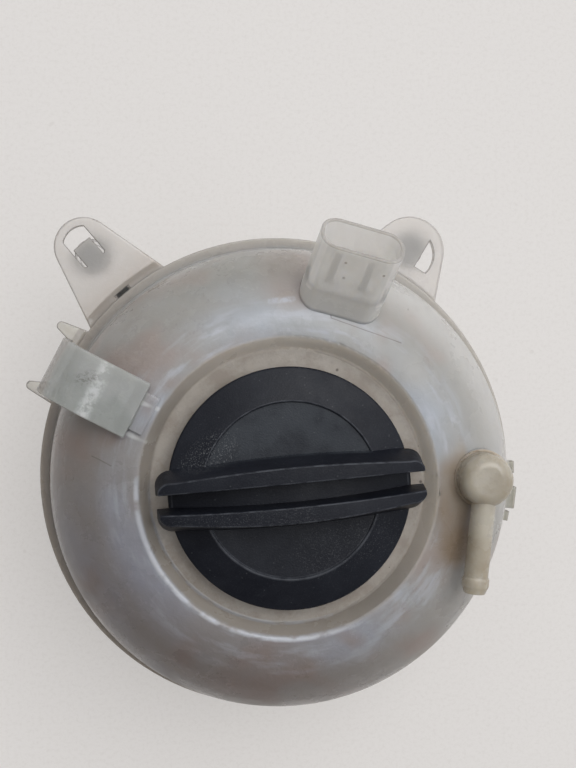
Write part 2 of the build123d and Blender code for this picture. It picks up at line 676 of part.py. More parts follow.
def o_ring(centre_z):
    return turned(Pos(O_RING_CENTRE_R, centre_z) * Circle(O_RING_D / 2).edge())


def o_ring_groove(centre_z):
    half_h = O_RING_D / 2 + O_RING_SEAT
    return ring(O_RING_CENTRE_R - half_h, NECK_BORE_R, centre_z - half_h, centre_z + half_h)


def valve_housing():
    housing = rod(BARREL_R, BARREL_BOTTOM_Z, HOUSING_TOP_Z)
    housing += rod(HOUSING_FLANGE_R, HOUSING_FLANGE_Z, HOUSING_TOP_Z)
    housing -= rod(CHAMBER_R, CHAMBER_Z, HOUSING_TOP_Z)
    housing += rod(PORT_R + SEAT_W, BARREL_BOTTOM_Z, SEAT_Z)
    housing -= rod(PORT_R, BARREL_BOTTOM_Z, SEAT_Z)
    rib = box_outline(PLATE_R + PLATE_GAP, BARREL_R - BARREL_WALL / 2, BARREL_BOTTOM_Z, RETAINER_Z)
    for index in range(RIB_COUNT):
        housing += radial_slab(index * 360 / RIB_COUNT, rib, RIB_T)
    bead_z = RETAINER_Z + RETAINER_T + RETAINER_GAP
    wall_r = CHAMBER_R + BARREL_WALL / 4
    tip_r = CHAMBER_R - BEAD_H
    bead = Polyline((wall_r, bead_z), (tip_r, bead_z), (wall_r, bead_z + 2 * BEAD_H), close=True)
    housing += turned(*bead.edges())
    for centre_z in (UPPER_RING_Z, LOWER_RING_Z):
        housing -= o_ring_groove(centre_z)
    return housing


def neck_seal():
    inner_r = NECK_BORE_R + NECK_SEAL_GAP
    return ring(inner_r, inner_r + NECK_SEAL_W, NECK_Z, HOUSING_FLANGE_Z)


def spring_retainer():
    boss_r = PRESSURE_COIL_R - PRESSURE_WIRE_R - COIL_TO_BOSS
    disc_r = CHAMBER_R - RETAINER_GAP
    retainer = rod(disc_r, RETAINER_Z, RETAINER_Z + RETAINER_T)
    retainer += rod(boss_r, RETAINER_Z - RETAINER_BOSS_H, RETAINER_Z)
    retainer -= rod(RETAINER_HOLE_R, RETAINER_Z - RETAINER_BOSS_H, RETAINER_Z + RETAINER_T)
    vent_circle_r = (PRESSURE_COIL_R + PRESSURE_WIRE_R + disc_r) / 2
    for index in range(VENT_COUNT):
        spot = polar(vent_circle_r, (index + 0.5) * 360 / VENT_COUNT)
        retainer -= spot * rod(VENT_R, RETAINER_Z, RETAINER_Z + RETAINER_T)
    return retainer


# Pressure valve

def pressure_plate():
    body = rod(PLATE_R, PLATE_Z, PLATE_TOP_Z) + rod(HUB_R, HUB_Z, PLATE_Z)
    body -= rod(STEM_R + STEM_GAP, HUB_Z, PLATE_TOP_Z)
    for index in range(AIR_HOLE_COUNT):
        spot = polar(AIR_HOLE_CIRCLE_R, index * 360 / AIR_HOLE_COUNT)
        body -= spot * rod(AIR_HOLE_R, HUB_Z, PLATE_TOP_Z)
    return body


def pressure_seal():
    return ring(HUB_R + HUB_GAP / 2, PORT_R + SEAT_W + PRESSURE_SEAL_OVER, SEAT_Z, PLATE_Z)


# Vacuum valve

def vacuum_disc():
    groove_r = STEM_R - STEM_GROOVE
    clip_top_z = STEM_CLIP_Z + STEM_CLIP_T
    disc = rod(VACUUM_DISC_R, VACUUM_DISC_Z - VACUUM_DISC_T, VACUUM_DISC_Z)
    disc += rod(STEM_R, VACUUM_DISC_Z, clip_top_z + STEM_TIP)
    return disc - ring(groove_r, STEM_CLIP_R, STEM_CLIP_Z, clip_top_z)


def vacuum_seal():
    return ring(STEM_R + STEM_CLIP_GAP, VACUUM_SEAL_R, VACUUM_DISC_Z, HUB_Z)


def stem_clip():
    return ring(STEM_R - STEM_GROOVE + STEM_CLIP_GAP, STEM_CLIP_R, STEM_CLIP_Z, STEM_CLIP_Z + STEM_CLIP_T)


pieces = {
    "upper_shell": upper_shell(),
    "lower_shell": lower_shell(),
    "hose_elbow": hose_elbow(),
    "sensor_pin_left": sensor_pin(1, PIN_R),
    "sensor_pin_right": sensor_pin(-1, PIN_R),
    "cap_shell": cap_shell(),
    "valve_housing": valve_housing(),
    "upper_o_ring": o_ring(UPPER_RING_Z),
    "lower_o_ring": o_ring(LOWER_RING_Z),
    "neck_seal": neck_seal(),
    "spring_retainer": spring_retainer(),
    "pressure_spring": coil(PRESSURE_COIL_R, PRESSURE_WIRE_R, PRESSURE_COILS, PLATE_TOP_Z, RETAINER_Z),
    "pressure_plate": pressure_plate(),
    "pressure_seal": pressure_seal(),
    "vacuum_spring": coil(VACUUM_COIL_R, VACUUM_WIRE_R, VACUUM_COILS, PLATE_TOP_Z, STEM_CLIP_Z),
    "vacuum_disc": vacuum_disc(),
    "vacuum_seal": vacuum_seal(),
    "stem_clip": stem_clip(),
}
os.makedirs("parts", exist_ok=True)
for name, piece in pieces.items():
    export_step(piece, f"parts/{name}.step")
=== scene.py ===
import json
from math import cos, radians, sin

import bmesh
import bpy
from mathutils import Matrix, Vector


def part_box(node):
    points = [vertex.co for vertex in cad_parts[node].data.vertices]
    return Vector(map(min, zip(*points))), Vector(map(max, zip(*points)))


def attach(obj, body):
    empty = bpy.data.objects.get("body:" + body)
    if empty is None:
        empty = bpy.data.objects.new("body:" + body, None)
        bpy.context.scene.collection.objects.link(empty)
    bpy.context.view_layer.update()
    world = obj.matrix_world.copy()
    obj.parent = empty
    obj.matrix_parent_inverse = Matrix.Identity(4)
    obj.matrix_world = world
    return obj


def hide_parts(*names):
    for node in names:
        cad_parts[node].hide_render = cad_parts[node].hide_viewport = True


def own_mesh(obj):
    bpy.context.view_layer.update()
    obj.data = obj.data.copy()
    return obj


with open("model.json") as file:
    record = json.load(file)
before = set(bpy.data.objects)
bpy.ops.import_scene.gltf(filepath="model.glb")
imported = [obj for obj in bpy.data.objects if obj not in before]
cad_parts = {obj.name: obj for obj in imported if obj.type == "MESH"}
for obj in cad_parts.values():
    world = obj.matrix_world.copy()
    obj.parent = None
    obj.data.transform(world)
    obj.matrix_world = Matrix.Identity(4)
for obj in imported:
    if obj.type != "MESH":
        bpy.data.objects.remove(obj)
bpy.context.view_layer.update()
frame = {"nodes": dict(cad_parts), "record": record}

# Camera: held above the tank, looking almost straight down at the cap from a little to its rear left.
# The lens follows from a focal length of 1271 pixels in a picture 576 pixels wide.
PICTURE_W = 576
FOCAL_PX = 1271
SENSOR_MM = 36.0
CAMERA_AT = Vector((-0.0398, 0.0496, 0.5081))
CAMERA_VIEW = Vector((0.0968, -0.0401, -0.9945)).normalized()
CAMERA_RIGHT = Vector((0.9953, 0.0, 0.0969)).normalized()

camera_data = bpy.data.cameras.new("camera")
camera_data.sensor_fit = "HORIZONTAL"
camera_data.sensor_width = SENSOR_MM
camera_data.lens = FOCAL_PX / PICTURE_W * SENSOR_MM
camera = bpy.data.objects.new("camera", camera_data)
camera_up = CAMERA_RIGHT.cross(CAMERA_VIEW)
camera_turn = Matrix((CAMERA_RIGHT, camera_up, -CAMERA_VIEW)).transposed().to_4x4()
camera.matrix_world = Matrix.Translation(CAMERA_AT) @ camera_turn
bpy.context.scene.collection.objects.link(camera)
bpy.context.scene.camera = camera
bpy.context.scene.view_settings.view_transform = "Standard"

# Studio: a pale painted table under the tank, a sky that is brighter to the rear right, and a wide soft lamp.
# The lamp stands high to the rear right; a panel overhead is there only to be mirrored in shiny plastic.
# Here and below, noise is given as scale, detail and roughness, and a span as its two ends and their values.
TABLE_HALF = 12.0
TABLE_PALE = (0.775, 0.748, 0.724, 1)
TABLE_DULL = (0.74, 0.711, 0.687, 1)
TABLE_GRAIN = (0.62, 0.585, 0.555, 1)
TABLE_CLOUDS = (5.0, 6.0)
TABLE_FIBRES = (620.0, 3.0, 0.75)
FIBRE_SHARE = (0.42, 0.75, 0.0, 0.30)
TABLE_DOTS = (150.0, 1.0)
DOT_SHARE = (0.76, 0.82, 0.0, 0.35)
TABLE_ROUGH = 0.8
TABLE_GLOW = 0.54
TABLE_SHADED = 0.45
BLACK = (0, 0, 0, 1)
LIGHT_ANGLE = 52.0
SKY_HEIGHT = 30.0
SKY_FADE = (-0.45, 0.9)
SKY_DARK = (0.17, 0.155, 0.137, 1)
SKY_BRIGHT = (0.80, 0.83, 0.88, 1)
LAMP_HEIGHT = 62.0
LAMP_AWAY = 3.2
LAMP_SIZE = (2.1, 2.1)
LAMP_WATTS = 43
LAMP_TINT = (1.0, 0.985, 0.965)
PANEL_AT = Vector((0.10, 0.62, 1.6))
PANEL_SIZE = (1.7, 1.4)
PANEL_WATTS = 5.5


def put(tree, socket, value):
    """Gives a socket a number, a colour or another node's output."""
    if isinstance(value, bpy.types.NodeSocket):
        tree.links.new(value, socket)
    else:
        socket.default_value = value


def noise(tree, place, scale, detail=3.0, roughness=0.55):
    """Soft noise between 0 and 1 at a place."""
    node = tree.nodes.new("ShaderNodeTexNoise")
    for name, value in (("Vector", place), ("Scale", scale), ("Detail", detail), ("Roughness", roughness)):
        put(tree, node.inputs[name], value)
    return node.outputs["Fac"]


def span(tree, value, low, high, to_low=0.0, to_high=1.0):
    """Carries a value smoothly from one span to another, and holds it at both ends."""
    node = tree.nodes.new("ShaderNodeMapRange")
    node.interpolation_type = "SMOOTHSTEP"
    for name, number in (("Value", value), ("From Min", low), ("From Max", high),
                         ("To Min", to_low), ("To Max", to_high)):
        put(tree, node.inputs[name], number)
    return node.outputs["Result"]


def blend(tree, share, first, second):
    """Mixes two colours by a share; a Mix node's colours are its inputs 6 and 7."""
    node = tree.nodes.new("ShaderNodeMix")
    node.data_type = "RGBA"
    for index, value in ((0, share), (6, first), (7, second)):
        put(tree, node.inputs[index], value)
    return node.outputs[2]


def calc(tree, operation, *values):
    """One Math node; a value may be a number or another node's output."""
    node = tree.nodes.new("ShaderNodeMath")
    node.operation = operation
    for socket, value in zip(node.inputs, values):
        put(tree, socket, value)
    return node.outputs[0]


def arrow(tree, operation, *values):
    """One Vector Math node, which gives a number for a length or a dot product."""
    node = tree.nodes.new("ShaderNodeVectorMath")
    node.operation = operation
    for socket, value in zip(node.inputs, values):
        put(tree, socket, value)
    return node.outputs["Value" if operation in ("LENGTH", "DOT_PRODUCT") else "Vector"]


def most(tree, *masks):
    """The strongest of several masks."""
    result = masks[0]
    for mask in masks[1:]:
        result = calc(tree, "MAXIMUM", result, mask)
    return result


def speckled(tree, place, pattern, share):
    """A mask made from a noise pattern and a span."""
    return span(tree, noise(tree, place, *pattern), *share)


def new_finish(name):
    """A new material with its node tree, its Principled shader and its Object coordinates."""
    material = bpy.data.materials.new(name)
    material.use_nodes = True
    tree = material.node_tree
    place = tree.nodes.new("ShaderNodeTexCoord").outputs["Object"]
    return material, tree, tree.nodes["Principled BSDF"], place


def towards(angle, height):
    """A direction from its angle round the axis and its height above the table, in degrees."""
    flat = cos(radians(height))
    return Vector((flat * cos(radians(angle)), flat * sin(radians(angle)), sin(radians(height))))


def area_lamp(name, place, size, watts):
    """A square or oblong lamp that looks at the tank."""
    data = bpy.data.lights.new(name, "AREA")
    data.shape = "RECTANGLE"
    data.size, data.size_y = size
    data.energy = watts
    data.color = LAMP_TINT
    light = bpy.data.objects.new(name, data)
    light.location = place
    light.rotation_euler = (-Vector(place)).to_track_quat("-Z", "Y").to_euler()
    bpy.context.scene.collection.objects.link(light)
    return light


table_paint, tree, shader, place = new_finish("table_paint")
paint = blend(tree, noise(tree, place, *TABLE_CLOUDS), TABLE_DULL, TABLE_PALE)
paint = blend(tree, speckled(tree, place, TABLE_FIBRES, FIBRE_SHARE), paint, TABLE_GRAIN)
paint = blend(tree, speckled(tree, place, TABLE_DOTS, DOT_SHARE), paint, TABLE_GRAIN)
rays = tree.nodes.new("ShaderNodeLightPath").outputs
seen = most(tree, rays["Is Camera Ray"], rays["Is Glossy Ray"], rays["Is Transmission Ray"])
dimmed = blend(tree, calc(tree, "MULTIPLY", seen, 1 - TABLE_SHADED), paint, BLACK)
put(tree, shader.inputs["Base Color"], dimmed)
put(tree, shader.inputs["Emission Color"], paint)
put(tree, shader.inputs["Emission Strength"], calc(tree, "MULTIPLY", seen, TABLE_GLOW))
shader.inputs["Roughness"].default_value = TABLE_ROUGH
table_mesh = bpy.data.meshes.new("table")
table_mesh.from_pydata([(-TABLE_HALF, -TABLE_HALF, 0), (TABLE_HALF, -TABLE_HALF, 0),
                        (TABLE_HALF, TABLE_HALF, 0), (-TABLE_HALF, TABLE_HALF, 0)], [], [(0, 1, 2, 3)])
table_mesh.materials.append(table_paint)
table = bpy.data.objects.new("table", table_mesh)
bpy.context.scene.collection.objects.link(table)

sky = bpy.data.worlds.new("sky")
sky.use_nodes = True
tree = sky.node_tree
way = tree.nodes.new("ShaderNodeTexCoord").outputs["Generated"]
facing = arrow(tree, "DOT_PRODUCT", way, towards(LIGHT_ANGLE, SKY_HEIGHT))
put(tree, tree.nodes["Background"].inputs["Color"],
    blend(tree, span(tree, facing, *SKY_FADE), SKY_DARK, SKY_BRIGHT))
bpy.context.scene.world = sky

area_lamp("lamp", towards(LIGHT_ANGLE, LAMP_HEIGHT) * LAMP_AWAY, LAMP_SIZE, LAMP_WATTS)
panel = area_lamp("panel", PANEL_AT, PANEL_SIZE, PANEL_WATTS)
panel.visible_diffuse = False

# Lower shell: a bowl of milky polypropylene, moulded in one piece with its flange, ears, prongs and lugs.
# The thin ears and prongs let the table shine through, and the flange has a darker lip, painted darker still
# on the front-left as painted shade.
# Its finish also serves the upper shell and the weld bead, which are of the same plastic.
MERGE_GAP = 2e-6
SHARP_EDGE = 32.0
ROUND_STEPS = 3
MOULD_ROUND = 0.0003
SHELL_R = 0.079
FLANGE_R = 0.083
WELD_Z = 0.060
SHOULDER_Z = 0.0740
WALL_TOP_R = 0.0783
CREST_Z = 0.105
CREST_R = 0.0503
LIP_R = 0.0484
LEDGE_R = 0.0449
EAR_TOP_Z = 0.0588
EAR_UNDER_Z = 0.0558
PEG_HEAD_Z = 0.0546
PEG_END_Z = 0.0426
SOCKET_ANGLE = 74.6
SOCKET_HALF = (0.0123, 0.0061)
SOCKET_FLOOR = 0.0195
CLIP_ANGLE = 152.5
FRONT_EAR_ANGLE = 130.3
QUARTER_TURN = 90.0
SOCKET, FRONT_PEG, REAR_PEG = (
    next(mount for mount in frame["record"]["mounts"] if mount["name"] == name)
    for name in ("sensor_socket", "front_peg", "rear_peg"))
GRAIN_DETAIL = 2.0
SMEAR_DETAIL = (5.0, 0.6)
SMEAR_ENDS = (0.3, 0.7)
GRAIN_HEIGHT = 0.4
HAIRLINE_CORE = 0.3
NO_LENGTH = 1e-12
SPECK_CORE = 0.4
SOAK_WEIGHT = 0.8


def new_group(name, inputs, outputs):
    """An empty shader group with named sockets, and its two ends."""
    group = bpy.data.node_groups.new(name, "ShaderNodeTree")
    for socket, kind in inputs.items():
        group.interface.new_socket(name=socket, in_out="INPUT", socket_type="NodeSocket" + kind)
    for socket, kind in outputs.items():
        group.interface.new_socket(name=socket, in_out="OUTPUT", socket_type="NodeSocket" + kind)
    return group, group.nodes.new("NodeGroupInput").outputs, group.nodes.new("NodeGroupOutput").inputs


def use_group(tree, group, **values):
    """Places a group in a material with its own values, and gives back its outputs."""
    node = tree.nodes.new("ShaderNodeGroup")
    node.node_tree = group
    for name, value in values.items():
        put(tree, node.inputs[name.replace("_", " ").capitalize()], value)
    return node.outputs


# Moulded skin: the fine grain and the smeared shine of an old moulding.
moulded_skin, given, gives = new_group(
    "moulded_skin",
    {"Place": "Vector", "Grain": "Float", "Smear": "Float", "Shiny": "Float", "Dull": "Float"},
    {"Roughness": "Float", "Height": "Float"})
grain = noise(moulded_skin, given["Place"], given["Grain"], GRAIN_DETAIL)
smear = noise(moulded_skin, given["Place"], given["Smear"], *SMEAR_DETAIL)
put(moulded_skin, gives["Roughness"], span(moulded_skin, smear, *SMEAR_ENDS, given["Shiny"], given["Dull"]))
put(moulded_skin, gives["Height"],
    calc(moulded_skin, "ADD", calc(moulded_skin, "MULTIPLY", grain, GRAIN_HEIGHT), smear))

# Hairline: a thin scratch, slit or speck between two points on a surface.
hairline, given, gives = new_group(
    "hairline", {"Place": "Vector", "Start": "Vector", "End": "Vector", "Width": "Float"}, {"Mask": "Float"})
along = arrow(hairline, "SUBTRACT", given["End"], given["Start"])
from_start = arrow(hairline, "SUBTRACT", given["Place"], given["Start"])
long_square = calc(hairline, "ADD", arrow(hairline, "DOT_PRODUCT", along, along), NO_LENGTH)
part = calc(hairline, "DIVIDE", arrow(hairline, "DOT_PRODUCT", from_start, along), long_square)
clamp = hairline.nodes.new("ShaderNodeClamp")
put(hairline, clamp.inputs["Value"], part)
step = hairline.nodes.new("ShaderNodeVectorMath")
step.operation = "SCALE"
put(hairline, step.inputs["Vector"], along)
put(hairline, step.inputs["Scale"], clamp.outputs[0])
off = arrow(hairline, "LENGTH", arrow(hairline, "SUBTRACT", from_start, step.outputs["Vector"]))
core = calc(hairline, "MULTIPLY", given["Width"], HAIRLINE_CORE)
put(hairline, gives["Mask"], span(hairline, off, core, given["Width"], 1.0, 0.0))

# Specks: small scattered dots of dirt, one in some of the cells of a loose grid.
specks, given, gives = new_group(
    "specks", {"Place": "Vector", "Scale": "Float", "Size": "Float", "Share": "Float"}, {"Mask": "Float"})
cells = specks.nodes.new("ShaderNodeTexVoronoi")
put(specks, cells.inputs["Vector"], given["Place"])
put(specks, cells.inputs["Scale"], given["Scale"])
picked = specks.nodes.new("ShaderNodeSeparateColor")
put(specks, picked.inputs[0], cells.outputs["Color"])
core = calc(specks, "MULTIPLY", given["Size"], SPECK_CORE)
dot = span(specks, cells.outputs["Distance"], core, given["Size"], 1.0, 0.0)
chosen = calc(specks, "LESS_THAN", picked.outputs[0], given["Share"])
put(specks, gives["Mask"], calc(specks, "MULTIPLY", dot, chosen))


def lines(tree, place, width, *pairs):
    """The mask of several hairlines of one width."""
    return most(tree, *(use_group(tree, hairline, place=place, start=start, end=end, width=width)["Mask"]
                        for start, end in pairs))


def both(tree, *masks):
    """The product of several masks."""
    result = masks[0]
    for mask in masks[1:]:
        result = calc(tree, "MULTIPLY", result, mask)
    return result


def zone(tree, *limits):
    """The product of several spans, each given with the value that it is for."""
    return both(tree, *(span(tree, value, *ends) for value, ends in limits))


def band(tree, value, middle, half, soft):
    """A mask round a middle value, with soft ends."""
    return span(tree, calc(tree, "ABSOLUTE", calc(tree, "SUBTRACT", value, middle)), half + soft, half)


def measures(tree, place):
    """X, Y, Z and the distance from the tank's axis at a place."""
    split = tree.nodes.new("ShaderNodeSeparateXYZ")
    put(tree, split.inputs[0], place)
    x, y, z = split.outputs
    out = calc(tree, "SQRT", calc(tree, "ADD", calc(tree, "MULTIPLY", x, x), calc(tree, "MULTIPLY", y, y)))
    return x, y, z, out


def edge_mask(tree):
    """The mask of the rounded edges."""
    mark = tree.nodes.new("ShaderNodeAttribute")
    mark.attribute_name = "edge"
    return mark.outputs["Fac"]


def bump(tree, shader, height, strength, distance):
    """Feeds a height to a shader's normal."""
    node = tree.nodes.new("ShaderNodeBump")
    node.inputs["Strength"].default_value = strength
    node.inputs["Distance"].default_value = distance
    put(tree, node.inputs["Height"], height)
    put(tree, shader.inputs["Normal"], node.outputs["Normal"])


def soak(shader, depth, tint):
    """Lets light soak into a milky plastic."""
    shader.inputs["Subsurface Weight"].default_value = SOAK_WEIGHT
    shader.inputs["Subsurface Radius"].default_value = tint
    shader.inputs["Subsurface Scale"].default_value = depth


def moulding(name, node, body, material, rounding):
    """A merged copy of a CAD node, its outer edges rounded as a mould leaves them, that stands for the node.
    The rounded faces carry the attribute edge."""
    mesh = frame["nodes"][node].data.copy()
    if "custom_normal" in mesh.attributes:
        mesh.attributes.remove(mesh.attributes["custom_normal"])
    shape = bmesh.new()
    shape.from_mesh(mesh)
    edge_mark = shape.faces.layers.float.new("edge")
    bmesh.ops.remove_doubles(shape, verts=shape.verts, dist=MERGE_GAP)
    corners = [edge for edge in shape.edges
               if edge.is_convex and edge.calc_face_angle() > radians(SHARP_EDGE)]
    rounds = bmesh.ops.bevel(shape, geom=corners, offset=rounding, offset_type="OFFSET", segments=ROUND_STEPS,
                             profile=0.5, affect="EDGES", clamp_overlap=False, loop_slide=True)["faces"]
    for face in rounds:
        face[edge_mark] = 1.0
    bmesh.ops.remove_doubles(shape, verts=shape.verts, dist=MERGE_GAP)
    shape.to_mesh(mesh)
    shape.free()
    mesh.shade_smooth()
    mesh.set_sharp_from_angle(angle=radians(SHARP_EDGE))
    mesh.materials.clear()
    mesh.materials.append(material)
    piece = bpy.data.objects.new(name, mesh)
    bpy.context.scene.collection.objects.link(piece)
    even = piece.modifiers.new("even_shading", "WEIGHTED_NORMAL")
    even.keep_sharp = True
    piece.data = bpy.data.meshes.new_from_object(piece.evaluated_get(bpy.context.evaluated_depsgraph_get()))
    piece.data.name = name
    piece.modifiers.remove(even)
    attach(piece, body)
    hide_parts(node)
    return piece


# Milky wall: cloudy, blushed and brown in patches, painted lighter towards the lamp and darker away from it
# as painted light and shade, bluish on the crest as a painted sky reflection, with painted highlights, and
# with a painted glow where light comes through.
LIT_SIDE = (0.62, 0.78)
LIT_ENDS = (-0.075, 0.045)
MILK_LIT = (0.385, 0.372, 0.347, 1)
MILK_SHADED = (0.205, 0.182, 0.172, 1)
DRIFT = (27.0, 2.0, 0.5)
CREST_ENDS_Z = (0.097, 0.1045)
CREST_ENDS_R = (0.067, 0.055)
# The crest's bluish patches are a painted sky reflection; the wall's bluish patches are random tone.
CREST_SKY_REFLECTION = (0.36, 0.62, 0.15, 1.0)
COOL_WALL = (0.50, 0.72, 0.0, 0.55)
COOL_LIT = (0.41, 0.43, 0.46, 1)
COOL_SHADED = (0.235, 0.23, 0.258, 1)
BLOTCH = (43.0, 2.0, 0.5)
BLUSH_WALL = (0.47, 0.68, 0.0, 0.8)
BLUSH_PATCH = ((0.0005, 0.0745, 0.0900), (0.0020, 0.0660, 0.0995))
BLUSH_WIDTH = 0.0150
BLUSH_SHARE = 0.7
BLUSH_LIT = (0.40, 0.335, 0.30, 1)
BLUSH_SHADED = (0.195, 0.150, 0.135, 1)
# Painted highlights on the crest: streaks running round the ring, and a short glint.
STREAK_TURN = 0.012
STREAKS = (260.0, 3.0, 0.6)
STREAK_SHARE = (0.47, 0.70, 0.0, 0.65)
STREAK_LIT = (0.0, 1.0, 0.5, 1.0)
CREST_SHINE = ((-0.0060, 0.0598, 0.1030), (0.0010, 0.0604, 0.1028))
SHINE_WIDTH = 0.0015
SHINE_BREAKS = (420.0, 3.0)
SHINE_SHARE = (0.38, 0.60, 0.2, 0.75)
CREST_HIGHLIGHT = (0.52, 0.54, 0.585, 1)
# Painted glow: the outer slope towards the lamp, the foot of the dome and its rear lower wall.
GLOW_ENDS_LIT = (0.035, 0.065)
GLOW_ENDS_R = (0.062, 0.074)
GLOW_ENDS_X = (0.0, 0.035)
MILK_GLOW = (0.53, 0.515, 0.49, 1)
FOOT_TOP_Z = (0.079, 0.066)
FOOT_LOW_Z = (0.0585, 0.0600)
FOOT_ENDS_R = (0.0803, 0.0799)
FOOT_SHARE = 0.8
REAR_ENDS_X = (-0.015, 0.030)
REAR_ENDS_Z = (0.094, 0.070)
REAR_ENDS_R = (0.0797, 0.0793)
REAR_SHARE = 0.65
FOOT_LIT = (0.50, 0.475, 0.44, 1)
FOOT_SHADED = (0.40, 0.36, 0.315, 1)
DULL_ENDS_Y = (0.050, 0.068)
DULL_ENDS_X = (0.012, -0.004)
DULL_ENDS_R = (0.060, 0.070)
DULL_ENDS_Z = (0.066, 0.070)
DULL_SHARE = 0.45
MILK_DULL = (0.275, 0.268, 0.242, 1)
BOWL_ENDS_Z = (WELD_Z + 0.0005, WELD_Z - 0.0015)
BOWL_CLOUDS = (22.0, 4.0)
BOWL_SHARE = (0.30, 0.66, 0.4, 0.9)
BOWL_LIT = (0.47, 0.452, 0.422, 1)
BOWL_SHADED = (0.36, 0.335, 0.305, 1)
# A brown patch on the dome to the left of the spigot, and the brown that also darkens the boss's rim.
SPIGOT_SIDE_PATH = (((0.0540, 0.0020, 0.1047), (0.0535, -0.0080, 0.1047)),
                 ((0.0535, -0.0080, 0.1047), (0.0550, -0.0195, 0.1035)))
SPIGOT_SIDE_WIDTH = 0.0105
SPIGOT_SIDE_SHARE = (0.3, 0.6, 0.55, 0.9)
ELBOW_SIDE_BROWN = (0.25, 0.188, 0.128, 1)
BOSS_AT = Vector((0.0630, 0.0024, 0.0))
BOSS_ENDS_Z = (0.1030, 0.1040)
BOSS_HALO = 0.0185
BOSS_SHARE = 0.9
BOSS_BROWN = (0.36, 0.287, 0.207, 1)
BOSS_TOP_Z = (0.1015, 0.1025)
BOSS_TOP_R = (0.0125, 0.0108)
BOSS_EDGE_SHARE = 0.85
BOSS_ROUGH = 0.8
MOTTLE = (160.0, 4.0, 0.6)
MOTTLE_SHARE = (0.45, 0.75, 0.0, 0.10)
STAIN = (0.15, 0.112, 0.078, 1)

milk_plastic, tree, shader, place = new_finish("milk_plastic")
x, y, z, out = measures(tree, place)
edge = edge_mask(tree)
# Painted light and shade: the plastic is painted lighter on the rear-right side, towards the lamp, and darker
# on the front-left; most colours below come in lit and shaded copies mixed by this share.
lit = calc(tree, "ADD", calc(tree, "MULTIPLY", x, LIT_SIDE[0]), calc(tree, "MULTIPLY", y, LIT_SIDE[1]))
sunny = span(tree, lit, *LIT_ENDS)
drift = noise(tree, place, *DRIFT)
blotch = noise(tree, place, *BLOTCH)
colour = blend(tree, sunny, MILK_SHADED, MILK_LIT)
# Painted sky reflection: the crest is painted bluish and pale in cloudy patches, where its upward faces would
# mirror the bright sky.
crest = zone(tree, (z, CREST_ENDS_Z), (out, CREST_ENDS_R))
crest_sky_reflection = both(tree, crest, span(tree, drift, *CREST_SKY_REFLECTION))
colour = blend(tree, most(tree, crest_sky_reflection, span(tree, drift, *COOL_WALL)), colour,
               blend(tree, sunny, COOL_SHADED, COOL_LIT))
blush = most(tree, span(tree, blotch, *BLUSH_WALL),
             both(tree, lines(tree, place, BLUSH_WIDTH, BLUSH_PATCH), BLUSH_SHARE))
colour = blend(tree, blush, colour, blend(tree, sunny, BLUSH_SHADED, BLUSH_LIT))
# Painted highlights: bright streaks round the ring on the crest, strongest towards the lamp, and a short
# painted glint on the crest.
ring_place = tree.nodes.new("ShaderNodeCombineXYZ")
for socket, value in zip(ring_place.inputs, (x, y)):
    put(tree, socket, calc(tree, "MULTIPLY", calc(tree, "DIVIDE", value, out), STREAK_TURN))
put(tree, ring_place.inputs["Z"], out)
highlight_streaks = speckled(tree, ring_place.outputs[0], STREAKS, STREAK_SHARE)
shine = both(tree, lines(tree, place, SHINE_WIDTH, CREST_SHINE),
             speckled(tree, place, SHINE_BREAKS, SHINE_SHARE))
crest_highlights = most(tree, both(tree, highlight_streaks, crest, span(tree, sunny, *STREAK_LIT)), shine)
colour = blend(tree, crest_highlights, colour, blend(tree, sunny, COOL_LIT, CREST_HIGHLIGHT))
# Painted glow: the outer slope towards the lamp, the foot of the dome and its rear lower wall are painted
# lighter, standing in for light coming through the plastic.
glow = zone(tree, (lit, GLOW_ENDS_LIT), (out, GLOW_ENDS_R), (x, GLOW_ENDS_X))
colour = blend(tree, glow, colour, MILK_GLOW)
foot_glow = zone(tree, (z, FOOT_TOP_Z), (z, FOOT_LOW_Z), (out, FOOT_ENDS_R))
rear_glow = both(tree, zone(tree, (x, REAR_ENDS_X), (z, REAR_ENDS_Z), (out, REAR_ENDS_R)), REAR_SHARE)
colour = blend(tree, most(tree, both(tree, foot_glow, FOOT_SHARE), rear_glow), colour,
               blend(tree, sunny, FOOT_SHADED, FOOT_LIT))
dull_top = zone(tree, (y, DULL_ENDS_Y), (x, DULL_ENDS_X), (out, DULL_ENDS_R), (z, DULL_ENDS_Z))
colour = blend(tree, both(tree, dull_top, DULL_SHARE), colour, MILK_DULL)
bowl = both(tree, span(tree, z, *BOWL_ENDS_Z), speckled(tree, place, BOWL_CLOUDS, BOWL_SHARE))
colour = blend(tree, bowl, colour, blend(tree, sunny, BOWL_SHADED, BOWL_LIT))
# A brown patch is painted on the dome to the left of the spigot and down the slope from it.
spigot_side = lines(tree, place, SPIGOT_SIDE_WIDTH, *SPIGOT_SIDE_PATH)
colour = blend(tree, both(tree, spigot_side, span(tree, blotch, *SPIGOT_SIDE_SHARE)), colour, ELBOW_SIDE_BROWN)
flat_place = arrow(tree, "MULTIPLY", place, (1.0, 1.0, 0.0))
boss = both(tree, span(tree, z, *BOSS_ENDS_Z), lines(tree, flat_place, BOSS_HALO, (BOSS_AT, BOSS_AT)))
colour = blend(tree, both(tree, boss, BOSS_SHARE), colour, BOSS_BROWN)
# Painted shade: the boss's rounded rim round the elbow is painted dark brown, to read as a soft shadow
# instead of a bright ring.
from_boss = arrow(tree, "LENGTH", arrow(tree, "SUBTRACT", flat_place, BOSS_AT))
boss_top = zone(tree, (z, BOSS_TOP_Z), (from_boss, BOSS_TOP_R))
colour = blend(tree, both(tree, boss_top, edge, BOSS_EDGE_SHARE), colour, ELBOW_SIDE_BROWN)
colour = blend(tree, speckled(tree, place, MOTTLE, MOTTLE_SHARE), colour, STAIN)

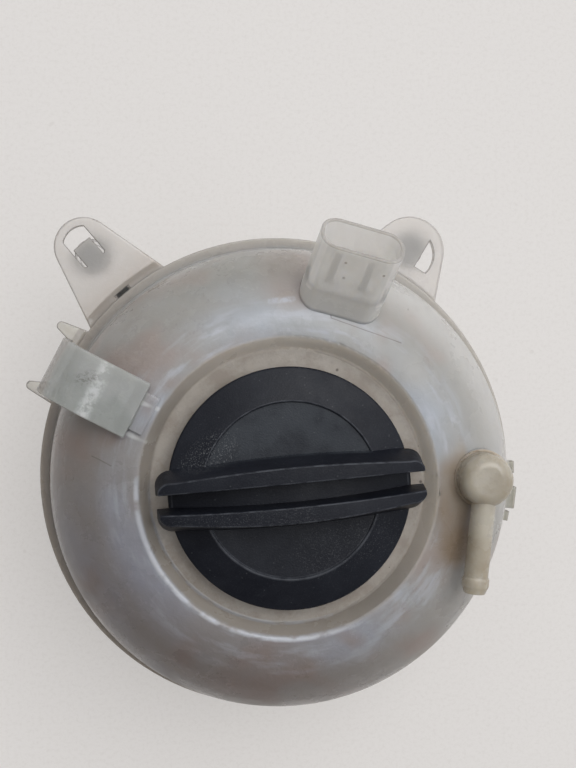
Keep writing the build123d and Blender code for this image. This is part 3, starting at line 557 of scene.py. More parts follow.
# Recess: a dirty beige ledge, a wall painted pale on the side towards the lamp as painted light coming
# through, and painted highlights on the lips.
HIGH_ENDS_Z = (0.088, 0.092)
LEDGE_CLOUDS = (95.0, 6.0, 0.7)
LEDGE_SHARE = (0.36, 0.66, 0.16, 0.70)
LEDGE_ENDS_R = (LIP_R + 0.0004, LEDGE_R + 0.0006)
LEDGE_BEIGE = (0.47, 0.432, 0.385, 1)
LEDGE_BROWN = (0.29, 0.243, 0.20, 1)
# Painted light on the recess wall, pale on the side towards the lamp.
RECESS_BAND = (LEDGE_R + 0.0016, 0.0010, 0.0018)
RECESS_SHARE = 0.85
RECESS_ENDS_LIT = (-0.012, 0.034)
RECESS_LIT = (0.86, 0.785, 0.695, 1)
RECESS_SHADED = (0.36, 0.325, 0.285, 1)
FAR_ENDS_LIT = (-0.018, -0.034)
# Painted highlights on the lips, broken into patches.
LIP_SHINE_BREAKS = (140.0, 3.0)
LIP_SHINE_SHARE = (0.36, 0.56, 0.15, 1.0)
LIP_BAND = (LIP_R + 0.0004, 0.0003, 0.0011)
LIP_ENDS_Z = (0.1025, 0.1040)
LEDGE_LIP_BAND = (LEDGE_R, 0.0002, 0.0005)
LEDGE_LIP_SHARE = 0.55
LIP_HIGHLIGHT = (0.47, 0.48, 0.51, 1)

high = span(tree, z, *HIGH_ENDS_Z)
ledge = blend(tree, speckled(tree, place, LEDGE_CLOUDS, LEDGE_SHARE), LEDGE_BEIGE, LEDGE_BROWN)
colour = blend(tree, both(tree, high, span(tree, out, *LEDGE_ENDS_R)), colour, ledge)
# Painted light: the recess wall is painted pale on the side towards the lamp, for light coming through the
# plastic, and darker beige on the other side.
recess_wall = both(tree, high, band(tree, out, *RECESS_BAND))
colour = blend(tree, both(tree, recess_wall, RECESS_SHARE), colour,
               blend(tree, span(tree, lit, *RECESS_ENDS_LIT), RECESS_SHADED, RECESS_LIT))
# Painted highlights: thin bright lines on the crest's lip and on the ledge's edge, on the front-left side,
# broken into patches.
far_side = span(tree, lit, *FAR_ENDS_LIT)
wear_and_shine_patches = speckled(tree, place, LIP_SHINE_BREAKS, LIP_SHINE_SHARE)
lip_highlight = both(tree, band(tree, out, *LIP_BAND), span(tree, z, *LIP_ENDS_Z), far_side, wear_and_shine_patches)
ledge_lip_highlight = both(tree, band(tree, out, *LEDGE_LIP_BAND), high, far_side, wear_and_shine_patches)
colour = blend(tree, most(tree, lip_highlight, both(tree, ledge_lip_highlight, LEDGE_LIP_SHARE)), colour, LIP_HIGHLIGHT)

# Flange, ears, pegs, clip and socket: darker at the weld and painted darker on the front-left as painted
# shade, and pale and see-through where the plastic is thin.
FLANGE_ENDS_Z = (WELD_Z + 0.0030, WELD_Z + 0.0015)
FLANGE_ENDS_R = (SHELL_R + 0.0009, SHELL_R + 0.0014)
FLANGE_ENDS_LIT = (-0.03, 0.06)
FLANGE_LIT = (0.385, 0.36, 0.33, 1)
FLANGE_SHADED = (0.31, 0.277, 0.245, 1)
THIN_ENDS_R = (FLANGE_R + 0.0002, FLANGE_R + 0.0016)
THIN_ENDS_Z = (PEG_END_Z - 0.0015, PEG_END_Z - 0.0005)
MILK_THIN = (0.56, 0.525, 0.495, 1)
ROOT_ENDS_R = (0.096, 0.084)
FRONT_ENDS_X = (-0.02, -0.035)
EAR_ROOT = (0.47, 0.415, 0.365, 1)
FIN_ENDS_Y = (0.056, 0.052)
FIN_PALE = (0.64, 0.61, 0.545, 1)
LUG_ENDS_X = (0.0, 0.03)
LUG_DULL = (0.40, 0.385, 0.32, 1)
CLIP_BEND = 0.062
CLIP_START = (0.0535, 0.0545)
CLIP_PROUD = (CREST_Z + 0.0001, CREST_Z + 0.0006)
CLIP_END_R = (0.0825, 0.0832)
CLIP_END_Z = (0.064, 0.066)
CLIP_CLOUDS = (70.0, 4.0)
CLIP_SHARE = (0.38, 0.64)
CLIP_PALE = (0.47, 0.477, 0.462, 1)
CLIP_DULL = (0.39, 0.405, 0.385, 1)
# Painted glints at the clip's feet, and a painted sheen across its bend.
CLIP_FEET_GLINTS = (((-0.0470, 0.0277, 0.1060), (-0.0420, 0.0256, 0.1047)),
             ((-0.0512, 0.0177, 0.1049), (-0.0460, 0.0152, 0.1040)))
CLIP_FEET_WIDTH = 0.0011
CLIP_FEET_SHARE = 0.5
SHEEN_BAND = (0.0692, 0.0006, 0.0028)
SHEEN_BREAKS = (240.0, 4.0, 0.7)
SHEEN_SHARE = (0.40, 0.60, 0.15, 1.0)
CLIP_SHEEN = (0.72, 0.73, 0.72, 1)
SOCKET_REACH = (0.0035, 0.0016)
SOCKET_PROUD = (0.0002, 0.0020)
INSIDE_REACH = 0.0005
INSIDE_DEPTH = (SOCKET_FLOOR + 0.0010, SOCKET_FLOOR)
RIM_DEPTH = (0.0008, 0.0003)
# The socket's lower wall and its inside are painted pale as painted light.
BASE_DEPTH = (SOCKET_FLOOR - 0.003, SOCKET_FLOOR + 0.002)
SOCKET_PALE = (0.74, 0.72, 0.685, 1)
SOCKET_BASE = (0.66, 0.645, 0.615, 1)
SOCKET_INSIDE = (0.95, 0.905, 0.855, 1)
PEG_HALO = 0.0105
PEG_SHARE = 0.85
PEG_GREY = (0.33, 0.32, 0.307, 1)
LEVEL_BAND = ((EAR_UNDER_Z + PEG_HEAD_Z) / 2, 0.0008, 0.0002)
PEG_END_ENDS = (PEG_END_Z + 0.0016, PEG_END_Z + 0.0012)
EAR_TOP_ENDS = (EAR_TOP_Z - 0.0009, EAR_TOP_Z - 0.0004)
EAR_FOOT_R = (FLANGE_R + 0.0036, FLANGE_R + 0.0028)
EAR_FOOT_SHARE = 0.8
SLOT_WALL_BAND = ((EAR_UNDER_Z + EAR_TOP_Z) / 2, 0.0008, 0.0003)

# Painted light and shade: the flange is painted lighter towards the lamp and darker on the front-left.
flange = zone(tree, (z, FLANGE_ENDS_Z), (out, FLANGE_ENDS_R))
colour = blend(tree, flange, colour, blend(tree, span(tree, lit, *FLANGE_ENDS_LIT), FLANGE_SHADED, FLANGE_LIT))
thin = zone(tree, (out, THIN_ENDS_R), (z, THIN_ENDS_Z))
along = arrow(tree, "DOT_PRODUCT", place, towards(CLIP_ANGLE, 0))
slope = calc(tree, "ADD", z, calc(tree, "MAXIMUM", calc(tree, "SUBTRACT", along, CLIP_BEND), 0.0))
strip = most(tree, zone(tree, (along, CLIP_START), (slope, CLIP_PROUD)),
             zone(tree, (out, CLIP_END_R), (z, CLIP_END_Z)))
# Painted highlight: a bright sheen band across the clip's strip where it starts to bend, broken into patches.
sheen = both(tree, strip, band(tree, along, *SHEEN_BAND), speckled(tree, place, SHEEN_BREAKS, SHEEN_SHARE))
from_mouth = arrow(tree, "SUBTRACT", Vector(SOCKET["pos_m"]), place)
deep = arrow(tree, "DOT_PRODUCT", from_mouth, Vector(SOCKET["axis"]))
across = towards(SOCKET_ANGLE + QUARTER_TURN, 0)
sides = [calc(tree, "ABSOLUTE", arrow(tree, "DOT_PRODUCT", from_mouth, way))
         for way in (across, across.cross(Vector(SOCKET["axis"])))]
own = [span(tree, side, *(half + reach for reach in SOCKET_REACH)) for side, half in zip(sides, SOCKET_HALF)]
across_crest = calc(tree, "DIVIDE", calc(tree, "SUBTRACT", out, CREST_R), WALL_TOP_R - CREST_R)
fall = calc(tree, "SUBTRACT", 1.0, calc(tree, "POWER", across_crest, 2.0))
curve = calc(tree, "SQRT", calc(tree, "MAXIMUM", fall, 0.0))
dome_z = calc(tree, "ADD", calc(tree, "MULTIPLY", curve, CREST_Z - SHOULDER_Z), SHOULDER_Z)
proud = span(tree, calc(tree, "SUBTRACT", z, dome_z), *SOCKET_PROUD)
socket = both(tree, *own, proud)
inside = [span(tree, side, half + INSIDE_REACH, half) for side, half in zip(sides, SOCKET_HALF)]
inside = both(tree, *inside, span(tree, deep, *INSIDE_DEPTH))
rim = both(tree, socket, span(tree, deep, *RIM_DEPTH))
fin = both(tree, thin, span(tree, y, *FIN_ENDS_Y))
lug = both(tree, fin, span(tree, x, *LUG_ENDS_X))
root = zone(tree, (out, ROOT_ENDS_R), (x, FRONT_ENDS_X))
colour = blend(tree, thin, colour, blend(tree, root, MILK_THIN, EAR_ROOT))
colour = blend(tree, fin, colour, FIN_PALE)
colour = blend(tree, lug, colour, LUG_DULL)
colour = blend(tree, strip, colour,
               blend(tree, speckled(tree, place, CLIP_CLOUDS, CLIP_SHARE), CLIP_DULL, CLIP_PALE))
# Painted glints: two short bright lines at the inner end of the clip's strip.
clip_feet_glints = lines(tree, place, CLIP_FEET_WIDTH, *CLIP_FEET_GLINTS)
colour = blend(tree, most(tree, sheen, both(tree, clip_feet_glints, CLIP_FEET_SHARE)), colour, CLIP_SHEEN)
colour = blend(tree, socket, colour, SOCKET_PALE)
# Painted light: the socket's lower wall is painted paler to lift its shade, and its inside near white for
# light coming in through the thin walls.
colour = blend(tree, both(tree, socket, span(tree, deep, *BASE_DEPTH)), colour, SOCKET_BASE)
colour = blend(tree, inside, colour, SOCKET_INSIDE)
peg_places = [Vector((mount["pos_m"][0], mount["pos_m"][1], 0.0)) for mount in (FRONT_PEG, REAR_PEG)]
peg = both(tree, lines(tree, flat_place, PEG_HALO, *((at, at) for at in peg_places)), thin)
level = both(tree, thin, most(tree, band(tree, z, *LEVEL_BAND), span(tree, z, *PEG_END_ENDS)))
upper = both(tree, thin, span(tree, z, *EAR_TOP_ENDS))
colour = blend(tree, both(tree, peg, PEG_SHARE), colour, PEG_GREY)
# The front ear's root is painted in the flange's shaded colour.
ear_foot = both(tree, upper, span(tree, out, *EAR_FOOT_R), span(tree, x, *FRONT_ENDS_X))
colour = blend(tree, both(tree, ear_foot, EAR_FOOT_SHARE), colour, FLANGE_SHADED)
slot_wall = both(tree, peg, band(tree, z, *SLOT_WALL_BAND))

# Dirt: specks, a few hairs and scratches; then dark outlines painted along thin edges, and the slit of the
# front ear painted black as painted shade.
HAIR_WIDTH = 0.00030
HAIRS = (((-0.0628, 0.0105, 0.1012), (-0.0602, 0.0094, 0.1027)),
         ((-0.0602, 0.0094, 0.1027), (-0.0567, 0.0076, 0.104)),
         ((0.0127, 0.0600, 0.1040), (0.0134, 0.0544, 0.1043)),
         ((0.0134, 0.0544, 0.1043), (0.0246, 0.0504, 0.1043)),
         ((0.0246, 0.0504, 0.1043), (0.0362, 0.0464, 0.1035)),
         ((0.0416, 0.064, 0.0853), (0.0398, 0.0571, 0.0964)))
HAIR_SHARE = 0.5
SPOT_WIDTH = 0.0007
SPOTS = ((0.0158, 0.0711, 0.1202), (0.0158, 0.0667, 0.1159), (0.0278, 0.0672, 0.1193),
         (0.0161, 0.0376, 0.0986), (0.0438, 0.0008, 0.0986))
SPOT_SHARE = 0.85
DIRT_SHARE = 0.5
LEDGE_SPECKS_R = (0.049, 0.047)
LEDGE_SPECKS_SHARE = 0.6
SMUDGE = ((-0.0622, 0.0360, 0.1081), (-0.0655, 0.0352, 0.1076))
SMUDGE_WIDTH = 0.0030
SMUDGE_GRAIN = (900.0, 4.0, 0.75)
SMUDGE_ENDS = (0.44, 0.64)
SMUDGE_SHARE = 0.5
GRIME = (0.10, 0.08, 0.065, 1)
ABOVE_ENDS_Z = (PEG_HEAD_Z + 0.0003, PEG_HEAD_Z + 0.0008)
EAR_OUTLINE = 0.8
SOCKET_OUTLINE = 0.6
CLIP_OUTLINE = 0.35
FLANGE_OUTLINE = 0.35
RIM_OUTLINE = 0.7
OUTLINE = (0.20, 0.185, 0.17, 1)
# Painted shade in the slit at the front ear's root.
SLIT_OUT = 0.0008
SLIT_HALF = 0.0020
SLIT_WIDTH = 0.0012
SLIT_ENDS_Z = (EAR_UNDER_Z + 0.0003, EAR_UNDER_Z + 0.0006)
SLIT_SHADE = (0.006, 0.006, 0.005, 1)
HOLLOW_DEPTH = (SOCKET_FLOOR + 0.002, SOCKET_FLOOR - 0.003)
EAR_CLEAR = 0.42
LEVEL_CLEAR = 0.92
SLOT_CLEAR = 0.9
THIN_CLEAR = 0.35
FIN_CLEAR = 0.55
LUG_LESS_CLEAR = 0.20
SOCKET_CLEAR = 0.45
CLIP_CLEAR = 0.30
MILK_SPECULAR = 0.36
MILK_SOAK = (0.006, (1.0, 0.95, 0.85))
MILK_BUMP = (0.25, 0.0006)

hairs = lines(tree, place, HAIR_WIDTH, *HAIRS)
spots = lines(tree, place, SPOT_WIDTH, *((at, at) for at in SPOTS))
smudge = both(tree, lines(tree, place, SMUDGE_WIDTH, SMUDGE),
              speckled(tree, place, SMUDGE_GRAIN, SMUDGE_ENDS))
dirt = use_group(tree, specks, place=place, scale=150.0, size=0.045, share=0.07)["Mask"]
ledge_specks = both(tree, high, span(tree, out, *LEDGE_SPECKS_R),
                    use_group(tree, specks, place=place, scale=420.0, size=0.13, share=0.12)["Mask"])
marks = most(tree, both(tree, hairs, HAIR_SHARE), both(tree, spots, SPOT_SHARE), both(tree, dirt, DIRT_SHARE),
             both(tree, ledge_specks, LEDGE_SPECKS_SHARE), both(tree, smudge, SMUDGE_SHARE))
colour = blend(tree, marks, colour, GRIME)
above = both(tree, thin, span(tree, z, *ABOVE_ENDS_Z))
dark_edges = most(tree, both(tree, above, EAR_OUTLINE), both(tree, socket, SOCKET_OUTLINE),
                  both(tree, strip, CLIP_OUTLINE), both(tree, flange, FLANGE_OUTLINE))
outline = most(tree, both(tree, edge, dark_edges), both(tree, rim, RIM_OUTLINE))
colour = blend(tree, outline, colour, OUTLINE)
# Painted shade: the slit at the root of the front ear is painted black and made solid, for the dark beneath
# the ear.
slit_mid = towards(FRONT_EAR_ANGLE, 0) * (FLANGE_R + SLIT_OUT)
slit_half = towards(FRONT_EAR_ANGLE + QUARTER_TURN, 0) * SLIT_HALF
slit_shade = both(tree, lines(tree, flat_place, SLIT_WIDTH, (slit_mid - slit_half, slit_mid + slit_half)),
            span(tree, z, *SLIT_ENDS_Z))
colour = blend(tree, slit_shade, colour, SLIT_SHADE)
put(tree, shader.inputs["Base Color"], colour)
hollow = both(tree, socket, span(tree, deep, *HOLLOW_DEPTH))
ear_sheet = calc(tree, "SUBTRACT", upper, both(tree, upper, most(tree, peg, ear_foot)))
ear_sides = calc(tree, "SUBTRACT", thin, most(tree, upper, fin))
fin_clear = calc(tree, "SUBTRACT", both(tree, fin, FIN_CLEAR), both(tree, lug, LUG_LESS_CLEAR))
clear = most(tree, both(tree, ear_sheet, EAR_CLEAR), both(tree, level, LEVEL_CLEAR),
             both(tree, slot_wall, SLOT_CLEAR), both(tree, ear_sides, THIN_CLEAR), fin_clear,
             both(tree, hollow, SOCKET_CLEAR), both(tree, strip, CLIP_CLEAR))
put(tree, shader.inputs["Alpha"], most(tree, calc(tree, "SUBTRACT", 1.0, clear), slit_shade, outline))
skin = use_group(tree, moulded_skin, place=place, grain=900.0, smear=48.0, shiny=0.20, dull=0.44)
put(tree, shader.inputs["Roughness"], most(tree, skin["Roughness"], both(tree, boss_top, BOSS_ROUGH)))
shader.inputs["Specular IOR Level"].default_value = MILK_SPECULAR
soak(shader, *MILK_SOAK)
bump(tree, shader, skin["Height"], *MILK_BUMP)

moulding("tank_bowl", "lower_shell", "tank", milk_plastic, MOULD_ROUND)

# Upper shell: the domed top with its recess, filler neck, sensor socket and hose clip, in the same plastic.
# It is hot-plate welded to the bowl, behind the raised lip of the flange.
moulding("tank_dome", "upper_shell", "tank", milk_plastic, MOULD_ROUND)

# Weld bead: the plastic that the hot-plate weld has squeezed out, a soft uneven bead all round the tank.
# It fills the gutter between the flange's lip and the foot of the dome.
BEAD_RING_R = 0.0787
BEAD_Z = 0.0604
BEAD_R = 0.0012
BEAD_UNEVEN = 0.0003
BEAD_STEPS = 360
BEAD_SIDES = 10
BEAD_WAVES = 90.0
WAVE_MIDDLE = 0.5


def new_growth(name, *sizes):
    """A Geometry Nodes tree with named sizes and a material, and its inputs."""
    tree = bpy.data.node_groups.new(name, "GeometryNodeTree")
    tree.is_modifier = True
    for size in sizes:
        tree.interface.new_socket(name=size, in_out="INPUT", socket_type="NodeSocketFloat")
    tree.interface.new_socket(name="Material", in_out="INPUT", socket_type="NodeSocketMaterial")
    tree.interface.new_socket(name="Geometry", in_out="OUTPUT", socket_type="NodeSocketGeometry")
    return tree, tree.nodes.new("NodeGroupInput").outputs


def end_growth(tree, given, geometry):
    """Ends a tree in Realize Instances and Set Material."""
    realize = tree.nodes.new("GeometryNodeRealizeInstances")
    put(tree, realize.inputs[0], geometry)
    finish = tree.nodes.new("GeometryNodeSetMaterial")
    put(tree, finish.inputs["Geometry"], realize.outputs[0])
    put(tree, finish.inputs["Material"], given["Material"])
    put(tree, tree.nodes.new("NodeGroupOutput").inputs[0], finish.outputs[0])


def round_wire(tree, path, wire_r, sides, caps):
    """A round section carried along a path."""
    section = tree.nodes.new("GeometryNodeCurvePrimitiveCircle")
    section.inputs["Resolution"].default_value = sides
    put(tree, section.inputs["Radius"], wire_r)
    wire = tree.nodes.new("GeometryNodeCurveToMesh")
    put(tree, wire.inputs["Curve"], path)
    put(tree, wire.inputs["Profile Curve"], section.outputs[0])
    wire.inputs["Fill Caps"].default_value = caps
    return wire.outputs[0]


def raised(tree, geometry, height):
    """Geometry lifted by a height."""
    lift = tree.nodes.new("ShaderNodeCombineXYZ")
    put(tree, lift.inputs["Z"], height)
    move = tree.nodes.new("GeometryNodeTransform")
    put(tree, move.inputs["Geometry"], geometry)
    put(tree, move.inputs["Translation"], lift.outputs[0])
    return move.outputs[0]


def grown(name, tree, body, slot, **values):
    """A plain mesh grown from a tree with its own sizes, riding on a body."""
    piece = bpy.data.objects.new(name, bpy.data.meshes.new(name))
    bpy.context.scene.collection.objects.link(piece)
    maker = piece.modifiers.new("maker", "NODES")
    maker.node_group = tree
    for socket in tree.interface.items_tree:
        if socket.in_out == "INPUT":
            maker[socket.identifier] = values[socket.name.lower().replace(" ", "_")]
    piece.data = bpy.data.meshes.new_from_object(piece.evaluated_get(bpy.context.evaluated_depsgraph_get()))
    piece.data.name = name
    piece.data.shade_smooth()
    piece.modifiers.remove(maker)
    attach(piece, body)
    return piece


bead_tree, given = new_growth("uneven_bead", "Ring radius", "Height", "Bead radius", "Unevenness")
ring = bead_tree.nodes.new("GeometryNodeCurvePrimitiveCircle")
ring.inputs["Resolution"].default_value = BEAD_STEPS
put(bead_tree, ring.inputs["Radius"], given["Ring radius"])
bead = round_wire(bead_tree, ring.outputs[0], given["Bead radius"], BEAD_SIDES, False)
wave = bead_tree.nodes.new("ShaderNodeTexNoise")
wave.inputs["Scale"].default_value = BEAD_WAVES
swell = calc(bead_tree, "SUBTRACT", wave.outputs["Fac"], WAVE_MIDDLE)
shift = bead_tree.nodes.new("ShaderNodeVectorMath")
shift.operation = "SCALE"
put(bead_tree, shift.inputs["Vector"], bead_tree.nodes.new("GeometryNodeInputNormal").outputs[0])
put(bead_tree, shift.inputs["Scale"], calc(bead_tree, "MULTIPLY", swell, given["Unevenness"]))
uneven = bead_tree.nodes.new("GeometryNodeSetPosition")
put(bead_tree, uneven.inputs["Geometry"], raised(bead_tree, bead, given["Height"]))
put(bead_tree, uneven.inputs["Offset"], shift.outputs["Vector"])
end_growth(bead_tree, given, uneven.outputs[0])
grown("weld_bead", bead_tree, "tank", "tank_plastic", ring_radius=BEAD_RING_R, height=BEAD_Z,
      bead_radius=BEAD_R, unevenness=BEAD_UNEVEN, material=milk_plastic)

# Contact pins: two plain steel pins for the level sensor, pressed into the socket's floor.
# Their lower ends dip into the coolant; above, they are dull and stained.
PIN_STAINS = 900.0
PIN_DARK = (0.16, 0.16, 0.165, 1)
PIN_PALE = (0.30, 0.295, 0.29, 1)


def plain_finish(name, scale, first, second, **skin_values):
    """A finish of two mingled colours with a moulded skin; gives back what is left to set."""
    material, tree, shader, place = new_finish(name)
    put(tree, shader.inputs["Base Color"], blend(tree, noise(tree, place, scale), first, second))
    skin = use_group(tree, moulded_skin, place=place, **skin_values)
    put(tree, shader.inputs["Roughness"], skin["Roughness"])
    return material, tree, shader, skin


def dress(material, *nodes):
    """Gives a finish to CAD nodes that stay as they are."""
    for node in nodes:
        for material_slot in frame["nodes"][node].material_slots:
            material_slot.material = material


pin_steel, tree, shader, skin = plain_finish("pin_steel", PIN_STAINS, PIN_DARK, PIN_PALE,
                                             grain=900.0, smear=300.0, shiny=0.35, dull=0.55)
shader.inputs["Metallic"].default_value = 1.0
dress(pin_steel, "sensor_pin_left", "sensor_pin_right")

# Hose elbow: a separate moulding of yellowed, half clear plastic with a barbed spigot for the return hose.
# It is welded on a boss of the dome, and coolant has left brown traces in it.
ELBOW_ROUND = 0.0002
ELBOW_PALE = (0.53, 0.485, 0.405, 1)
ELBOW_BROWN = (0.40, 0.345, 0.262, 1)
ELBOW_TRACES = (75.0, 4.0)
TRACE_ENDS = (0.35, 0.7)
ELBOW_EDGE_SHARE = 0.4
ELBOW_SOLID = 0.84
ELBOW_COAT = 0.25
ELBOW_COAT_ROUGH = 0.12
ELBOW_SOAK = (0.004, (1.0, 0.9, 0.7))
ELBOW_BUMP = (0.2, 0.0006)
elbow_plastic, tree, shader, place = new_finish("elbow_plastic")
edge = edge_mask(tree)
colour = blend(tree, speckled(tree, place, ELBOW_TRACES, TRACE_ENDS), ELBOW_PALE, ELBOW_BROWN)
colour = blend(tree, both(tree, edge, ELBOW_EDGE_SHARE), colour, STAIN)
put(tree, shader.inputs["Base Color"], colour)
skin = use_group(tree, moulded_skin, place=place, grain=900.0, smear=120.0, shiny=0.16, dull=0.36)
put(tree, shader.inputs["Roughness"], skin["Roughness"])
shader.inputs["Alpha"].default_value = ELBOW_SOLID
put(tree, shader.inputs["Coat Weight"], both(tree, calc(tree, "SUBTRACT", 1.0, edge), ELBOW_COAT))
shader.inputs["Coat Roughness"].default_value = ELBOW_COAT_ROUGH
soak(shader, *ELBOW_SOAK)
bump(tree, shader, skin["Height"], *ELBOW_BUMP)
moulding("return_elbow", "hose_elbow", "tank", elbow_plastic, ELBOW_ROUND)

# Valve: a black housing in the neck with its retainer, plate and disc, and rubber seals pushed into grooves.
# It hangs in the cap's hooks; the parts are moulded or turned, and the clip is bent from steel.
VALVE_GRAIN = 400.0
VALVE_BLACK = (0.030, 0.031, 0.035, 1)
VALVE_GREY = (0.055, 0.055, 0.06, 1)
VALVE_BUMP = (0.2, 0.0003)
RUBBER_GRAIN = 600.0
RUBBER_BLACK = (0.018, 0.018, 0.018, 1)
RUBBER_GREY = (0.035, 0.034, 0.033, 1)
STEEL_GRAIN = 1200.0
STEEL_DARK = (0.40, 0.40, 0.40, 1)
STEEL_PALE = (0.56, 0.56, 0.56, 1)
valve_plastic, tree, shader, skin = plain_finish("valve_plastic", VALVE_GRAIN, VALVE_BLACK, VALVE_GREY,
                                                 grain=1500.0, smear=150.0, shiny=0.4, dull=0.55)
bump(tree, shader, skin["Height"], *VALVE_BUMP)
dress(valve_plastic, "valve_housing", "spring_retainer", "pressure_plate", "vacuum_disc")
seal_rubber, tree, shader, skin = plain_finish("seal_rubber", RUBBER_GRAIN, RUBBER_BLACK, RUBBER_GREY,
                                               grain=2200.0, smear=260.0, shiny=0.6, dull=0.85)
dress(seal_rubber, "upper_o_ring", "lower_o_ring", "neck_seal", "pressure_seal", "vacuum_seal")
spring_steel, tree, shader, skin = plain_finish("spring_steel", STEEL_GRAIN, STEEL_DARK, STEEL_PALE,
                                                grain=2600.0, smear=400.0, shiny=0.25, dull=0.42)
shader.inputs["Metallic"].default_value = 1.0
dress(spring_steel, "stem_clip")

# Springs: two coils of round steel wire, wound right-handed and set in their seats without any fixing.
# The large one holds the pressure plate down, and the small one holds the vacuum disc up.
# Each would shorten towards the seat that stays still when its valve opens; here both are built at rest
# length.
PRESSURE_WIRE_R = 0.0008
PRESSURE_TURNS = 5.0
PRESSURE_LIFT = 0.003
VACUUM_WIRE_R = 0.0003
VACUUM_TURNS = 6.0
VACUUM_DROP = 0.002
LOWER_SEAT, UPPER_SEAT = 0, 1
TURN_STEPS = 40
WIRE_SIDES = 14
spring_tree, given = new_growth("wound_spring", "Coil radius", "Wire radius", "Turns", "Bottom", "Rise")
helix = spring_tree.nodes.new("GeometryNodeCurveSpiral")
helix.inputs["Resolution"].default_value = TURN_STEPS
helix.inputs["Reverse"].default_value = True
for name, source in (("Rotations", "Turns"), ("Start Radius", "Coil radius"), ("End Radius", "Coil radius"),
                     ("Height", "Rise")):
    put(spring_tree, helix.inputs[name], given[source])
coil = round_wire(spring_tree, helix.outputs[0], given["Wire radius"], WIRE_SIDES, True)
end_growth(spring_tree, given, raised(spring_tree, coil, given["Bottom"]))
for node, body, wire_r, turns, joint, travel, still_seat in (
        ("pressure_spring", "valve_insert", PRESSURE_WIRE_R, PRESSURE_TURNS,
         "pressure_valve_lift", PRESSURE_LIFT, UPPER_SEAT),
        ("vacuum_spring", "pressure_valve", VACUUM_WIRE_R, VACUUM_TURNS,
         "vacuum_valve_drop", VACUUM_DROP, LOWER_SEAT)):
    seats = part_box(node)
    bottom, top = seats
    height = top[2] - bottom[2]
    spring = grown(node + "_wire", spring_tree, body, "spring_steel", coil_radius=top[0] - wire_r,
                   wire_radius=wire_r, turns=turns, bottom=bottom[2] + wire_r, rise=height - 2 * wire_r,
                   material=spring_steel)
    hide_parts(node)
    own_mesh(spring)

# Screw cap: a black moulding with a shallow dish and two tall grip bars, turned by hand on the neck's thread.
# Its fine grain is scuffed pale where hands and tools have rubbed it, most of all along the edges, whose pale
# is wear and painted highlight together; the front half of the dish's edge carries a painted highlight, and
# the rear half of the dish floor a painted reflection.
CAP_ROUND = 0.0004
DISH_R = 0.0282
CAP_CLOUDS = (80.0, 5.0, 0.65)
CAP_CLOUD_ENDS = (0.3, 0.75)
CAP_BLACK = (0.0046, 0.0056, 0.0102, 1)
CAP_WORN = (0.0105, 0.0122, 0.0180, 1)
# Painted reflection on the rear half of the dish floor.
DISH_LIGHT_ENDS_R = (DISH_R + 0.0005, DISH_R - 0.0010)
DISH_LIGHT_ENDS_Y = (0.002, 0.014)
DISH_LIGHT_ENDS_Z = (0.1135, 0.1120)
DISH_LIGHT_CLOUDS = (120.0, 4.0)
DISH_LIGHT_SHARE = (0.30, 0.62, 0.45, 1.0)
CAP_DISH_LIGHT = (0.031, 0.0355, 0.043, 1)
WEAR = (260.0, 4.0)
WEAR_SHARE = (0.36, 0.62, 0.15, 0.9)
# Painted highlight on the front half of the dish's edge; its colour also serves the worn edges.
DISH_LIP_BAND = (DISH_R, 0.0003, 0.0005)
DISH_LIP_Y = (-0.004, -0.012)
DISH_LIP_Z = (0.113, 0.112)
DISH_LIP_BREAKS = (210.0, 3.0)
DISH_LIP_SHARE = (0.35, 0.6, 0.4, 1.0)
CAP_EDGE = (0.054, 0.058, 0.068, 1)
RUBBED_AT = ((-0.0298, 0.0076, 0.1113), (-0.0228, 0.0132, 0.1108))
RUBBED_WIDTH = 0.0085
RUBBED_STRONG = 0.6
FAINT_AT = (((0.0280, -0.0150, 0.1106), (0.0080, -0.0200, 0.1106)),
            ((-0.0320, -0.0080, 0.1207), (0.0010, -0.0078, 0.1240)))
FAINT_WIDTH = 0.0120
RUBBED_FAINT = 0.18
FLECKS = (2300.0, 3.0, 0.75)
FLECK_ENDS = (0.54, 0.66)
FLECK_SHARE = 0.045
SPECK_SHARE = 0.16
CAP_SCUFF = (0.21, 0.215, 0.22, 1)
CAP_SPECULAR = 0.20
CAP_BUMP = (0.4, 0.0004)
cap_plastic, tree, shader, place = new_finish("cap_plastic")
x, y, z, out = measures(tree, place)
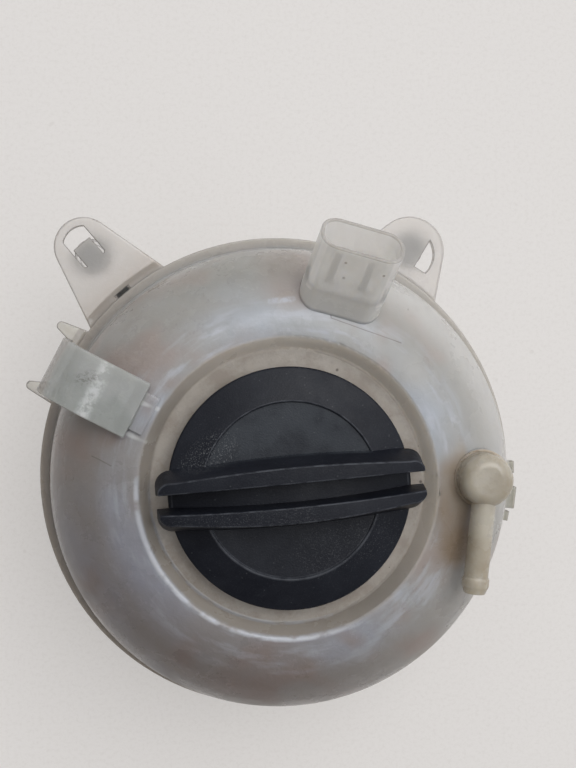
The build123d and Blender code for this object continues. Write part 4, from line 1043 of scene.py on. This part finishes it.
colour = blend(tree, speckled(tree, place, CAP_CLOUDS, CAP_CLOUD_ENDS), CAP_BLACK, CAP_WORN)
# Painted reflection: the rear half of the dish floor is painted paler in cloudy patches, where it would
# mirror the overhead light.
dish_light = both(tree, span(tree, out, *DISH_LIGHT_ENDS_R), span(tree, y, *DISH_LIGHT_ENDS_Y),
             speckled(tree, place, DISH_LIGHT_CLOUDS, DISH_LIGHT_SHARE), span(tree, z, *DISH_LIGHT_ENDS_Z))
colour = blend(tree, dish_light, colour, CAP_DISH_LIGHT)
# Worn edges with painted highlight: the rounded edges are painted pale in patches, and the front half of the
# dish's edge as a painted highlight.
worn_and_lit_edges = both(tree, edge_mask(tree), speckled(tree, place, WEAR, WEAR_SHARE))
dish_lip_highlight = both(tree, band(tree, out, *DISH_LIP_BAND), span(tree, y, *DISH_LIP_Y), span(tree, z, *DISH_LIP_Z),
                speckled(tree, place, DISH_LIP_BREAKS, DISH_LIP_SHARE))
colour = blend(tree, most(tree, worn_and_lit_edges, dish_lip_highlight), colour, CAP_EDGE)
wear_and_shine_patches = lines(tree, place, RUBBED_WIDTH, RUBBED_AT)
rubbed_faint = lines(tree, place, FAINT_WIDTH, *FAINT_AT)
flecks = speckled(tree, place, FLECKS, FLECK_ENDS)
dust = use_group(tree, specks, place=place, scale=700.0, size=0.22, share=0.10)["Mask"]
scuff = most(tree, both(tree, wear_and_shine_patches, flecks, RUBBED_STRONG), both(tree, rubbed_faint, flecks, RUBBED_FAINT),
             both(tree, dust, SPECK_SHARE), both(tree, flecks, FLECK_SHARE))
colour = blend(tree, scuff, colour, CAP_SCUFF)
put(tree, shader.inputs["Base Color"], colour)
skin = use_group(tree, moulded_skin, place=place, grain=1700.0, smear=70.0, shiny=0.36, dull=0.54)
put(tree, shader.inputs["Roughness"], skin["Roughness"])
shader.inputs["Specular IOR Level"].default_value = CAP_SPECULAR
bump(tree, shader, skin["Height"], *CAP_BUMP)
moulding("screw_cap", "cap_shell", "cap", cap_plastic, CAP_ROUND)
